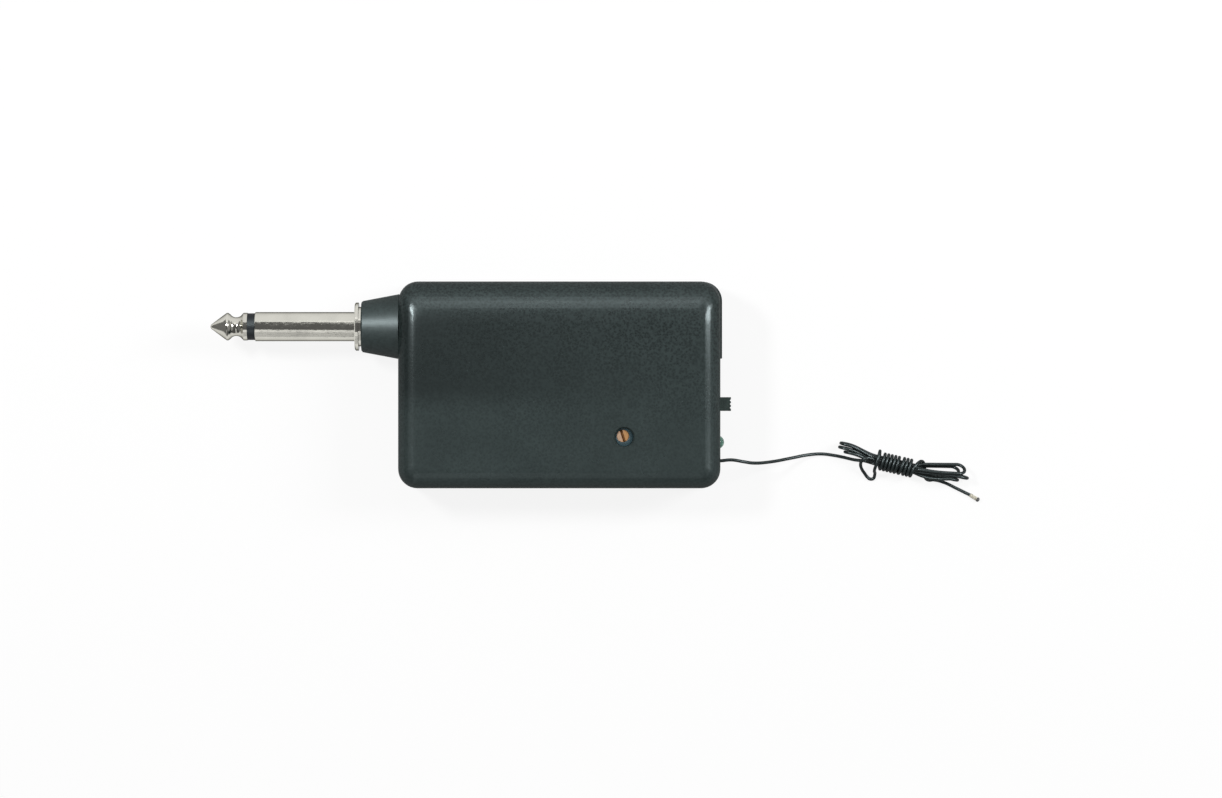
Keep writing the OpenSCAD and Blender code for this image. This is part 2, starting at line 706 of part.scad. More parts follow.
// Conical spring, wide at the plate and narrow at the cell, with its two ends turned square to them
function spring_point(t) = let (
    p = polar(lerp(spring_r_plate, spring_r_cell, t), 360 * spring_turns * t))
    [lerp(plate_x - spring_lift, cell_end_x + spring_lift, t), cell_y + p.x, seam_z + p.y];
function spring_end(x, r, tail) = [x, cell_y + r, seam_z + tail];
spring_path = concat(
    [spring_end(plate_x, spring_r_plate, -spring_tail),
        spring_end(plate_x - spring_wire, spring_r_plate, -spring_tail)],
    [for (i = [0:spring_steps * spring_turns]) spring_point(i / spring_steps / spring_turns)],
    [spring_end(cell_end_x + spring_wire, spring_r_cell, spring_tail),
        spring_end(cell_end_x, spring_r_cell, spring_tail)]);
module battery_spring() color(steel) tube(spring_path, spring_wire, loop_sides);

// Contact plate with a solder tab that reaches through the wall between the bays
module contact_plate(x, size) {
    box([x, cell_y - size / 2, seam_z - size / 2], [x + plate_t, cell_y + size / 2, seam_z + size / 2]);
    box([x, tab_y, tab_z - tab_w / 2], [x + plate_t, cell_y, tab_z + tab_w / 2]);
}

module positive_contact() color(steel) contact_plate(cell_x - plate_t, positive_w);
module negative_contact() color(steel) contact_plate(plate_x, negative_w);

module chip_body() color(black) on_board(chip_at) translate([-chip_size.x / 2, 0, chip_lift]) difference() {
    translate([0, -chip_size.y / 2, 0]) cube(chip_size);
    translate([0, 0, chip_size.z - notch_h]) cylinder(h = past, d = notch_d);
}

module chip_leads() color(tin) for (i = [0:chip_pins - 1]) for (flip = [0, 1])
    translate([chip_at.x + pin_pitch * (i - (chip_pins - 1) / 2), chip_at.y, 0]) mirror([0, flip, 0]) {
        y = chip_size.y / 2;
        box([-chip_pin.x / 2, y, chip_pin_z - chip_pin.z], [chip_pin.x / 2, y + chip_pin.y, chip_pin_z]);
        box([-pin_t / 2, y + chip_pin.y - chip_pin.z, board_top], [pin_t / 2, y + chip_pin.y, chip_pin_z]);
    }

module coil_can() color(steel) on_board(coil_at) difference() {
    translate([-coil_w / 2, -coil_w / 2, 0]) cube([coil_w, coil_w, coil_h]);
    translate([0, 0, coil_floor]) cylinder(h = coil_h, d = coil_core_d + 4 * fit);
}

module coil_core() color([0.3, 0.2, 0.16]) on_board(coil_at) translate([0, 0, coil_floor]) difference() {
    cylinder(h = coil_core_h, d = coil_core_d);
    box([-coil_slot_w / 2, -coil_core_d, coil_core_h - coil_slot_h], [coil_slot_w / 2, coil_core_d, coil_h]);
}

module capacitors() color([0.12, 0.14, 0.3]) for (p = capacitor_at) on_board(p) {
    r = capacitor_r;
    c = capacitor_crimp;
    rotate_extrude() polygon([[0, 0], [r, 0], [r, 2 * c], [r - c, 3 * c], [r, 4 * c],
        [r, capacitor_h - c], [r - c, capacitor_h], [0, capacitor_h]]);
}

module resistors() color([0.78, 0.66, 0.48]) for (p = resistor_at) {
    z = board_top + resistor_d / 2;
    rod_x(p.x - resistor_l / 2, p.x + resistor_l / 2, p.y, z, resistor_d);
    rod_x(p.x - resistor_span / 2, p.x + resistor_span / 2, p.y, z, pin_t);
    for (side = [-1, 1])
        translate([p.x + side * resistor_span / 2, p.y, 0])
            box([-pin_t / 2, -pin_t / 2, board_top], [pin_t / 2, pin_t / 2, z + pin_t / 2]);
}

// Inside wire, from a lug or contact to the board, with its two ends square to what they meet
module inside_wire(route) {
    last = len(route) - 1;
    middle = smooth([for (i = [1:last - 1]) route[i]], smooth_steps);
    tube(concat([route[0]], middle, [route[last]]), inner_wire_d, loop_sides);
}

module sleeve_wire() color(black) inside_wire(sleeve_wire_route);
module tip_wire() color([0.85, 0.85, 0.8]) inside_wire(tip_wire_route);
module positive_wire() color([0.7, 0.1, 0.1]) inside_wire(positive_wire_route);
module negative_wire() color(black) inside_wire(negative_wire_route);

// Hank: loops that climb one strand at a time, drawn in at the waist and open at both ends
function open_share(x) = x < 0 ? (x + waist_left) / (run_left + waist_left)
    : (x - waist_right) / (run_right - waist_right);
function half_open(x) = lerp(strand_step / 2, end_r, ease(open_share(x)));
function bow(x) = hank_bow * x * x;
function level(climb) = stack_z + strand_step * climb;
function strand(x, side, climb) = [x, bow(x) + side * half_open(x), level(climb)];
function run(x0, x1, side, c0, c1) = [for (i = [0:run_steps - 1]) let (t = i / run_steps)
    strand(lerp(x0, x1, t), side, lerp(c0, c1, t))];
function bend(x, push, a0, a1, c0, c1) = [for (i = [0:bend_steps - 1]) let (
    t = i / bend_steps,
    a = lerp(a0, a1, t))
    [x + (end_r + push) * cos(a), bow(x) + end_r * sin(a), level(lerp(c0, c1, t))]];
function run_out(k) = k == 0 ? run(first_x, run_right, -1, 0.1, climb_out)
    : run(run_left, run_right, -1, k, k + climb_out);
function right_end(k) = bend(run_right, right_push + reach[k], -90, 90, k + climb_out, k + climb_end);
function run_back(k) = k == loops - 1 ? run(run_right, last_x, 1, k + climb_end, k + climb_back)
    : run(run_right, run_left, 1, k + climb_end, k + climb_back);
function left_end(k) = k == loops - 1 ? []
    : bend(run_left, left_push - reach[k], 90, 270, k + climb_back, k + 1);
function loop_points(k) = concat(run_out(k), right_end(k), run_back(k), left_end(k));

// Turns round the waist, square enough to clear the bundle's corners
function squarish(v) = sign(v) * pow(abs(v), wrap_square);
wrap_points = [for (a = [wrap_turns[0]:360 / wrap_steps:wrap_turns[1]]) let (
    x = wrap_x + strand_step * a / 360)
    [x, bow(x) - wrap_half_y * squarish(cos(a)), wrap_z + wrap_half_z * squarish(sin(a))]];
hank_points = concat(
    [hank_in, hank_in + [wire_d, 0, 0]], lead_in,
    [for (k = [0:loops - 1]) each loop_points(k)],
    droop, wrap_points, lead_out,
    [hank_out - hank_out_step, hank_out]);

// The hank's place on the table
function to_table(p) = let (c = cos(hank_turn), s = sin(hank_turn))
    hank_at + [p.x * c - p.y * s, p.x * s + p.y * c, p.z];
function on_table(list) = [for (p = list) to_table(p)];

// Least clear space between two strands, measured on points a quarter of a step apart
fine_points = [for (i = [0:len(hank_points) - 2]) for (s = [0:gap_steps - 1])
    lerp(hank_points[i], hank_points[i + 1], s / gap_steps)];
function step_length(p, i) = i + 1 < len(p) ? norm(p[i + 1] - p[i]) : 0;
function lengths(p) = [for (i = 0, l = 0; i < len(p); l = l + step_length(p, i), i = i + 1) l];
function least_gap(p, l) = min([for (i = [0:len(p) - 1]) for (j = [i + 1:1:len(p) - 1])
    if (l[j] - l[i] > gap_skip) norm(p[j] - p[i])]) - wire_d;

module antenna_hank() color(jacket) {
    along = lengths(fine_points);
    echo(hank_least_gap = least_gap(fine_points, along), hank_length = max(along));
    tube(on_table(hank_points), wire_d, loop_sides);
}

module antenna_lead() color(jacket) {
    board_end = [lead_route[0].x, lead_route[0].y, board_top];
    meeting = on_table([hank_in - [2 * wire_d, 0, 0], hank_in - [wire_d, 0, 0]]);
    free = smooth(concat(lead_route, meeting), smooth_steps);
    tube(concat([board_end], free, on_table([hank_in])), wire_d, tube_sides);
}

module antenna_tail() color(jacket)
    tube(on_table(concat([hank_out, hank_out + hank_out_step], tail_route, [tail_end])), wire_d, tube_sides);

module antenna_tip() color(tin) {
    last = tail_route[len(tail_route) - 1];
    tube(on_table([tail_end, tail_end + tip_bare_l * unit(tail_end - last)]), bare_d, tube_sides);
}

front_shell();
rear_shell();
battery_door();
case_screws();
plug_neck();
plug_sleeve();
plug_insulator();
plug_tip();
plug_nut();
sleeve_lug();
tip_lug();
circuit_board();
trimmer_body();
trimmer_rotor();
switch_frame();
switch_base();
switch_terminals();
switch_knob();
lamp_lens();
lamp_leads();
battery_cell();
battery_spring();
positive_contact();
negative_contact();
chip_body();
chip_leads();
coil_can();
coil_core();
capacitors();
resistors();
sleeve_wire();
tip_wire();
positive_wire();
negative_wire();
antenna_lead();
antenna_hank();
antenna_tail();
antenna_tip();
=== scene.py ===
"""Looks of a plug-in wireless guitar receiver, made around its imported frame, in metres."""

import math

import bmesh
import bpy
from bpy.props import FloatProperty, FloatVectorProperty, IntProperty, PointerProperty
from mathutils import Euler, Matrix, Vector


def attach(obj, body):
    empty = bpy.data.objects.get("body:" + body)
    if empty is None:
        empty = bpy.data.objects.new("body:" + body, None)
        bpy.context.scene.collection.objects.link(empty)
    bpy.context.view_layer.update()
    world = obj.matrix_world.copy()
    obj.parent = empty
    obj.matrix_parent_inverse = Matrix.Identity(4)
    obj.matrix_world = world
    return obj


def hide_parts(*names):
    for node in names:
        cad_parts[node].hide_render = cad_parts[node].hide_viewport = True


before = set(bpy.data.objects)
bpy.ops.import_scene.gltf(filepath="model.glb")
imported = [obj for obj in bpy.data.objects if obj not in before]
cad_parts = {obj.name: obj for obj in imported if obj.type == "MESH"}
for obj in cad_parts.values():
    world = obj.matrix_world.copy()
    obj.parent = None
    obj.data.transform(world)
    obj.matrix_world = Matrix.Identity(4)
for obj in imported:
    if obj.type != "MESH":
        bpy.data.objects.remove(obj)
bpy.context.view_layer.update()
MM = 0.001

bl_info = {
    "name": "Wireless guitar receiver",
    "version": (1, 0, 0),
    "blender": (4, 5, 0),
    "location": "View3D > Sidebar > Receiver",
    "description": "Antenna wire, finishes and studio of a plug-in wireless guitar receiver",
    "category": "Object",
}

# Antenna lead from the board, out of the right end and down to the table, in millimetres
LEAD_ROUTE = [
    (28.2, -16.6, 10.3), (28.7, -16.6, 10.6), (30, -16.6, 10.6), (32, -16.6, 10.1), (35, -16.6, 10),
    (37.5, -16.4, 10), (40.2, -16.8, 9.5), (42.2, -17.1, 8.4), (46.1, -16.9, 5.6), (50.8, -16.1, 2.6),
    (54.6, -15.4, 1.1), (57.6, -15.2, 0.5), (60.2, -15.5, 0.42), (62.5, -15.95, 0.42), (64.9, -16.5, 0.44),
]
HANK_AT = (74, -17.3)
HANK_TURN = math.radians(-13)

# The hank in its own frame, in millimetres: x along the bundle, z up from the table
WAIST_X = (-4.6, 4.4)
WAIST_Y = -0.25
WAIST_Z = 2.25
WAIST_STEPS = 4
STRAND_HALF_STEP = 0.43
STRAND_ROW = 0.64
# Each strand's place at the waist, in half steps across and half rows up
STRAND_PLACES = [(-2, -1), (-1, -3), (-1, 1), (0, -1), (1, -3), (1, 1), (2, -1), (0, 3)]
# Each fold: x of its tip, its middle (y, z), and the half step (y, z) from the strand in to the strand out
RIGHT_FOLDS = [
    (13.9, -0.5, 2.1, 0.12, -1.6),
    (15.9, 0.4, 2.15, 0.12, -1.65),
    (13.75, 1.3, 1.75, -0.8, 1.3),
    (14.9, 1.85, 2.85, -0.97, 1.3),
]
LEFT_FOLDS = [
    (-11.6, -0.04, 2.1, 0.0, 1.6),
    (-13.0, 0.74, 2.1, 0.05, -1.6),
    (-12.9, 1.65, 2.2, 0.1, -1.6),
]
# How far each strand sags sideways between the waist and its right fold
STRAND_SAGS = [-0.55, -0.3, 0, 0, -0.4, -0.25, -0.5, -0.45]
# How early each strand makes for its right fold: evenly at 1, sooner below
STRAND_HASTE = [1, 1, 1, 1, 0.5, 1, 0.5, 0.5]
FOLD_STEPS = 9
STRAND_START = (-6.9, -1.0, 0.75)
STRAND_END = (-6.0, -0.12, 3.5)
DROOP_ROUTE = [
    (-6.95, -0.45, 3.7), (-7.6, -1.1, 3.25), (-7.65, -1.95, 2.4), (-7.15, -2.85, 1.5), (-6.3, -3.65, 0.8),
    (-5.45, -4.35, 0.48), (-4.75, -4.62, 0.43), (-4.12, -4.32, 0.48), (-4.02, -3.55, 0.85),
]
# Lowest that the wire's middle lies
WIRE_LOW = 0.41
# Turns that bind the hank, counted from the first tight one: how many are tight, and their two ends
WRAP_TURNS = 8
WRAP_START = -0.9
WRAP_END = WRAP_TURNS + 0.72
WRAP_STEPS = 14
WRAP_PITCH = 0.8
WRAP_X = -3.27
WRAP_HALF_Y = 1.74
WRAP_HALF_Z = 1.84
# The first turn: how far it is drawn along the bundle and stands out sideways, each with the turns that it
# takes to close up
FIRST_DRAWN = 0.47
FIRST_DRAWN_OVER = 0.5
FIRST_LOOSE = 1.15
FIRST_LOOSE_OVER = 1.3
# How much of that it stands out upwards
FIRST_RISE = 0.25
# The last turn: where it leaves the others, over how much of a turn, and how far along and sideways
LAST_AT = WRAP_TURNS + 0.17
LAST_OVER = 0.6
LAST_DRAWN = 2.4
LAST_LOOSE = 0.43
# Where the turns stand apart, over how much of a turn, and how far
GAP_AT = 4.7
GAP_OVER = 0.7
GAP = 0.36
TAIL_ROUTE = [
    (6.75, -1.0, 0.4), (7.0, -1.6, 0.4), (7.7, -1.95, 0.4), (8.9, -1.65, 0.4), (11.3, -1.7, 0.4),
    (14.0, -2.3, 0.4), (17.45, -3.1, 0.4),
]
TIP_END = (19.3, -3.7, 0.45)

# Roundness of the wire's curve, along it and across it
WIRE_STEPS = 5
WIRE_ROUND = 3
# Strands of the bare end: how many lie side by side across it, how far they twist, and their mesh
BARE_ACROSS = 3
BARE_TWIST = 1.5 * math.pi
BARE_STEPS = 24
BARE_SIDES = 10
# Bead on the strands: its radius in diameters of the bare end, its flattening, and its mesh
BEAD_RADIUS = 0.58
BEAD_FLAT = 0.8
BEAD_FINE = 3

# How CAD nodes and the collar are smoothed
WELD_DISTANCE = 1e-6
SHARP_ANGLE = math.radians(28)


class ReceiverShape(bpy.types.PropertyGroup):
    """Sizes of the pieces that are made here."""

    wire_d: FloatProperty(
        name="Wire diameter", description="Across the antenna wire's jacket",
        default=0.00072, unit="LENGTH", precision=5,
    )
    wire_length: FloatProperty(
        name="Wire length", description="Antenna wire from the board to the end of its jacket",
        default=0.399, unit="LENGTH",
    )
    bare_d: FloatProperty(
        name="Bare end diameter", description="Across the twisted strands at the antenna's end",
        default=0.0009, unit="LENGTH", precision=5,
    )
    bare_strands: IntProperty(
        name="Outer strands", description="Strands laid round the middle one", default=6, min=3,
    )


class ReceiverColours(bpy.types.PropertyGroup):
    """Colours of the finishes."""

    case: FloatVectorProperty(
        name="Case", description="Moulded green-grey plastic", subtype="COLOR", size=4,
        default=(0.034, 0.047, 0.046, 1),
    )
    case_pale: FloatVectorProperty(
        name="Case, pale", description="Tops of the case's grain", subtype="COLOR", size=4,
        default=(0.046, 0.063, 0.062, 1),
    )
    knob: FloatVectorProperty(
        name="Knob", description="Switch knob", subtype="COLOR", size=4,
        default=(0.040, 0.057, 0.052, 1),
    )
    nickel: FloatVectorProperty(
        name="Nickel", description="Plug plating", subtype="COLOR", size=4,
        default=(0.66, 0.65, 0.59, 1),
    )
    jacket: FloatVectorProperty(
        name="Wire jacket", description="Antenna wire", subtype="COLOR", size=4,
        default=(0.014, 0.019, 0.019, 1),
    )
    rotor: FloatVectorProperty(
        name="Trimmer rotor", description="Turned copper alloy", subtype="COLOR", size=4,
        default=(0.80, 0.54, 0.37, 1),
    )
    lamp: FloatVectorProperty(
        name="Lamp", description="Tinted lens, not lit", subtype="COLOR", size=4,
        default=(0.36, 0.74, 0.59, 1),
    )


class ReceiverStudio(bpy.types.PropertyGroup):
    """Camera, lamps and floor."""

    view_width: FloatProperty(
        name="View width", description="Width that the camera sees at its aim", default=0.2668,
        unit="LENGTH",
    )
    aim: FloatVectorProperty(
        name="Aim", description="Point at the middle of the picture", subtype="TRANSLATION",
        default=(0.01124, -0.0031, 0.010),
    )
    lens: FloatProperty(name="Lens", description="Focal length in millimetres", default=150)
    key_power: FloatProperty(
        name="Key lamp", description="Small lamp behind the top edge", default=0.15, unit="POWER",
    )
    left_power: FloatProperty(
        name="Left lamp", description="Soft lamp above the plug", default=1.35, unit="POWER",
    )
    right_power: FloatProperty(
        name="Right lamp", description="Soft lamp beyond the switch", default=1.4, unit="POWER",
    )
    room: FloatProperty(
        name="Room light", description="Even light from all round", default=0.145, min=0,
    )


# Nodes of materials

def add(tree, kind, values=None, **options):
    """A node with its options, and its sockets set to plain values or linked to other nodes' outputs."""
    node = tree.nodes.new("ShaderNode" + kind)
    for option, value in options.items():
        setattr(node, option, value)
    for socket, value in (values or {}).items():
        if isinstance(value, bpy.types.NodeSocket):
            tree.links.new(value, node.inputs[socket])
        else:
            node.inputs[socket].default_value = value
    return node


def scaled(tree, value, low, high, start=0.0, end=1.0):
    """A value brought from one range to another, kept inside it."""
    values = {"Value": value, "From Min": start, "From Max": end, "To Min": low, "To Max": high}
    return add(tree, "MapRange", values).outputs[0]


def mixed(tree, mask, first, second):
    """A colour that goes from the first to the second as the mask goes from 0 to 1."""
    node = add(tree, "Mix", {0: mask, 6: first, 7: second}, data_type="RGBA")
    return node.outputs[2]


def maths(tree, operation, *values, **options):
    """The result of a Math node on plain values or other nodes' outputs."""
    return add(tree, "Math", dict(enumerate(values)), operation=operation, **options).outputs[0]


def toned(colour, share):
    """A colour made darker or paler."""
    return (*(min(1, share * c) for c in colour[:3]), 1)


# Scale of moulded plastic's mottling, as a share of its coarse grain's
MOTTLE_SCALE = 0.05
# How softly a scratch ends
SCRATCH_SOFT = 0.12
# Where smudges begin and are full, the edge of a speck, and how few of the specks are left
SMUDGE = (0.35, 0.7)
SPECK_EDGE = (0.05, 0.1)
SPECK_FEW = (0.66, 0.7)


def empty_effect(name, inputs, outputs):
    """A shader node group with named value sockets and a vector, and its two end nodes."""
    group = bpy.data.node_groups.new(name, "ShaderNodeTree")
    group.interface.new_socket("Vector", in_out="INPUT", socket_type="NodeSocketVector")
    for label in inputs:
        group.interface.new_socket(label, in_out="INPUT", socket_type="NodeSocketFloat")
    for label in outputs:
        group.interface.new_socket(label, in_out="OUTPUT", socket_type="NodeSocketFloat")
    return group, group.nodes.new("NodeGroupInput"), group.nodes.new("NodeGroupOutput")


def moulded_grain():
    """Spark-eroded grain of moulded plastic: its height, and broad mottling."""
    name = "Moulded grain"
    if name in bpy.data.node_groups:
        return bpy.data.node_groups[name]
    group, start, end = empty_effect(name, ["Fine", "Coarse", "Coarse Share"], ["Height", "Mottle"])
    vector = start.outputs["Vector"]
    fine = add(group, "TexNoise", {"Vector": vector, "Scale": start.outputs["Fine"], "Detail": 2})
    pits = add(
        group, "TexVoronoi", {"Vector": vector, "Scale": start.outputs["Coarse"], "Smoothness": 0.7},
        feature="SMOOTH_F1",
    )
    height = add(group, "Mix", {0: start.outputs["Coarse Share"], 2: fine.outputs[0], 3: pits.outputs[0]})
    broad = maths(group, "MULTIPLY", start.outputs["Coarse"], MOTTLE_SCALE)
    mottle = add(group, "TexNoise", {"Vector": vector, "Scale": broad, "Detail": 4})
    group.links.new(height.outputs[0], end.inputs["Height"])
    group.links.new(mottle.outputs[0], end.inputs["Mottle"])
    return group


def fine_scratches():
    """Fine lines that run along X: a mask of them."""
    name = "Fine scratches"
    if name in bpy.data.node_groups:
        return bpy.data.node_groups[name]
    group, start, end = empty_effect(name, ["Along", "Across", "Sparse"], ["Mask"])
    along, across = start.outputs["Along"], start.outputs["Across"]
    stretch = add(group, "CombineXYZ", {0: along, 1: across, 2: across})
    vector = add(
        group, "VectorMath", {0: start.outputs["Vector"], 1: stretch.outputs[0]}, operation="MULTIPLY",
    )
    lines = add(group, "TexNoise", {"Vector": vector.outputs[0], "Scale": 1, "Detail": 3})
    sparse = start.outputs["Sparse"]
    deep = maths(group, "ADD", sparse, SCRATCH_SOFT)
    group.links.new(scaled(group, lines.outputs[0], 0.0, 1.0, sparse, deep), end.inputs["Mask"])
    return group


def handling():
    """Traces of use: broad smudges, and specks of dust."""
    name = "Handling"
    if name in bpy.data.node_groups:
        return bpy.data.node_groups[name]
    group, start, end = empty_effect(name, ["Smudge Scale", "Speck Scale"], ["Smudge", "Specks"])
    vector = start.outputs["Vector"]
    broad = start.outputs["Smudge Scale"]
    smudge = add(group, "TexNoise", {"Vector": vector, "Scale": broad, "Detail": 3})
    soft = scaled(group, smudge.outputs[0], 0.0, 1.0, *SMUDGE)
    specks = add(group, "TexVoronoi", {"Vector": vector, "Scale": start.outputs["Speck Scale"]})
    dots = scaled(group, specks.outputs["Distance"], 1.0, 0.0, *SPECK_EDGE)
    few = scaled(group, specks.outputs["Color"], 0.0, 1.0, *SPECK_FEW)
    sparse = maths(group, "MULTIPLY", dots, few)
    group.links.new(soft, end.inputs["Smudge"])
    group.links.new(sparse, end.inputs["Specks"])
    return group


def effect(tree, group, values):
    """A node group placed on Object coordinates, with its own values."""
    place = add(tree, "TexCoord")
    node = add(tree, "Group", node_tree=group)
    tree.links.new(place.outputs["Object"], node.inputs["Vector"])
    for label, value in values.items():
        node.inputs[label].default_value = value
    return node.outputs


def blank(name):
    """A new material with no nodes yet."""
    material = bpy.data.materials.new(name)
    material.use_nodes = True
    material.node_tree.nodes.clear()
    return material


def finish(material, colour, roughness, height, bump, **others):
    """Completes a material from a colour, a roughness, a height and other shader values. Each is a plain
    value or an output of its nodes. bump is the height's depth in metres."""
    tree = material.node_tree
    values = {label.replace("_", " "): value for label, value in others.items()}
    shader = add(tree, "BsdfPrincipled", {"Base Color": colour, "Roughness": roughness, **values})
    if height is not None:
        raised = add(tree, "Bump", {"Strength": 1.0, "Distance": bump, "Height": height})
        tree.links.new(raised.outputs[0], shader.inputs["Normal"])
    output = add(tree, "OutputMaterial")
    tree.links.new(shader.outputs[0], output.inputs["Surface"])
    return material


# Finishes

# Tint of grained plastic's gloss
GLOSS_TINT = (0.84, 0.98, 1.0, 1)
# Where the gloss begins to fade as a surface turns away, from 0 square on to 1 edge on, and how much would
# be left of it after a whole 1 more
PLAIN_GLOSS = (0.05, 0.0041)
FACE_GLOSS = (0.10, 0.0008)
DOOR_GLOSS = (0.05, 0.08)
# Slight crown of the front face below the cell and brow over it: height, and where they begin and end in Y
CROWN = (0.0015, -0.0225, 0.0132)
BROW = (-0.0002, 0.0132, 0.0172)
# Painted shade on the face below the brow: where it begins and ends in Y, fades in X and begins in Z, and
# how much darker it is at both ends of X
PAINTED_SHADE_LOW = (-0.006, -0.001)
PAINTED_SHADE_HIGH = (0.0145, 0.0172)
PAINTED_SHADE_X = (-0.030, 0.026)
PAINTED_SHADE_Z = (0.0165, 0.0195)
PAINTED_SHADE_SHARE = (0.95, 0.0)
# Where the face's grain goes from faint to strong towards the top, and how strong it is there; the
# stronger grain up there is painted light, standing in for the lamps' glints on the grain
GRAIN_Y = (-0.010, 0.012)
GRAIN_STRENGTH = (0.8, 1.95)
# Where mottling goes from one tone to the other and how far, where the grain's hollows go from dark to
# clear and how dark, and how much of their colour specks of dust have
MOTTLE = (0.3, 0.75)
MOTTLE_SHARE = 0.7
HOLLOW = (0.3, 0.6)
HOLLOW_SHARE = 0.5
SPECK_SHARE = 0.3
# Tones of the face's painted shade, which the grain's hollows also start from, of the hollows beside it
# and of dust beside the pale colour
PAINTED_SHADE_AND_HOLLOW_TONE = 0.5
HOLLOW_TONE = 0.6
DUST_TONE = 2.2


def coordinate(tree, axis):
    """One Object coordinate of the surface, in metres."""
    place = add(tree, "TexCoord")
    return add(tree, "SeparateXYZ", {0: place.outputs["Object"]}).outputs[axis]


def crown(tree):
    """Height of the front face's crown and brow, in metres, as shading shows it."""
    across = coordinate(tree, "Y")
    heights = []
    for height, start, end in [CROWN, BROW]:
        values = {"Value": across, "From Min": start, "From Max": end, "To Min": 0, "To Max": height}
        heights.append(add(tree, "MapRange", values, interpolation_type="SMOOTHSTEP").outputs[0])
    return maths(tree, "ADD", *heights)


def painted_shade(tree):
    """How much painted shade darkens the face below the brow, most of all towards the plug."""
    across = coordinate(tree, "Y")
    low = scaled(tree, across, 0.0, 1.0, *PAINTED_SHADE_LOW)
    high = scaled(tree, across, 1.0, 0.0, *PAINTED_SHADE_HIGH)
    inside = maths(tree, "MULTIPLY", low, high)
    share = scaled(tree, coordinate(tree, "X"), *PAINTED_SHADE_SHARE, *PAINTED_SHADE_X)
    front = scaled(tree, coordinate(tree, "Z"), 0.0, 1.0, *PAINTED_SHADE_Z)
    return maths(tree, "MULTIPLY", inside, maths(tree, "MULTIPLY", share, front))


def moulded(
    name, colour, pale, rough, depth, fine, coarse, share, level, gloss=PLAIN_GLOSS, crowned=False,
):
    """Moulded plastic with a spark-eroded grain, slightly smudged. Its gloss fades where it turns away.
    Crowned, it also has painted shade below the brow and its grain painted stronger towards the top.
    """
    material = blank(name)
    tree = material.node_tree
    grain = effect(tree, moulded_grain(), {"Fine": fine, "Coarse": coarse, "Coarse Share": share})
    marks = effect(tree, handling(), {"Smudge Scale": 55, "Speck Scale": 600})
    height = maths(tree, "MULTIPLY", grain["Height"], depth)
    body = mixed(tree, scaled(tree, grain["Mottle"], 0.0, MOTTLE_SHARE, *MOTTLE), colour, pale)
    hollow = scaled(tree, grain["Height"], HOLLOW_SHARE, 0.0, *HOLLOW)
    # Painted shade: the colour darkened for the face below the brow; the grain's hollows darken from it as
    # well
    deep = toned(colour, PAINTED_SHADE_AND_HOLLOW_TONE)
    if crowned:
        height = maths(tree, "ADD", height, crown(tree))
        # Painted light: the grain's contrast stronger towards the top, where the lamps make it glint
        strength = scaled(tree, coordinate(tree, "Y"), *GRAIN_STRENGTH, *GRAIN_Y)
        hollow = maths(tree, "MULTIPLY", hollow, strength)
        # Painted shade below the brow
        body = mixed(tree, painted_shade(tree), body, deep)
    body = mixed(tree, hollow, body, toned(deep, HOLLOW_TONE))
    body = mixed(tree, scaled(tree, marks["Specks"], 0.0, SPECK_SHARE), body, toned(pale, DUST_TONE))
    shine = scaled(tree, marks["Smudge"], *rough)
    finish(material, body, shine, height, 1.0, Specular_Tint=GLOSS_TINT, Specular_IOR_Level=level)
    start, base = gloss
    edge = add(tree, "LayerWeight", {"Blend": 0.5}).outputs["Facing"]
    turned = maths(tree, "SUBTRACT", edge, start, use_clamp=True)
    faded = maths(tree, "MULTIPLY", maths(tree, "POWER", base, turned), level)
    tree.links.new(faded, tree.nodes["Principled BSDF"].inputs["Specular IOR Level"])
    return material


# What is left of a metal's brightness where it is seen edge on
METAL_RIM = (0.02, 0.02, 0.02, 1)
# How much of its dull tone a metal takes where it is smudged, and how much rougher its lines are
DULL_SHARE = 0.6
LINE_ROUGH = 0.12


def metal(name, colour, dull, rough, along, across, sparse, depth):
    """Plated or drawn metal with fine lines along it."""
    material = blank(name)
    tree = material.node_tree
    lines = effect(tree, fine_scratches(), {"Along": along, "Across": across, "Sparse": sparse})["Mask"]
    smudge = effect(tree, handling(), {"Smudge Scale": 260, "Speck Scale": 900})["Smudge"]
    tone = mixed(tree, scaled(tree, smudge, 0.0, DULL_SHARE), colour, dull)
    shine = maths(tree, "ADD", scaled(tree, smudge, *rough), scaled(tree, lines, 0.0, LINE_ROUGH))
    return finish(material, tone, shine, lines, depth, Metallic=1.0, Specular_Tint=METAL_RIM)


# Heights between which the rotor's slot is painted dark, as shade down in it, and where its top goes from
# pale to orange, painted shade on its right half
SLOT_PAINTED_SHADE = (0.0185, 0.01895)
ROTOR_SHADED_HALF = (0.0134, 0.0142)
# How the painted shade on the rotor's right half tints its colour
ROTOR_SHADE_TINT = (1.0, 0.8, 0.5)
# The rotor's dull tone, how much of it smudges bring, and its roughness and metallic share from clean to
# smudged
ROTOR_DULL = 0.6
ROTOR_WEAR = 0.5
ROTOR_ROUGH = (0.3, 0.42)
ROTOR_METAL = (0.65, 0.35)


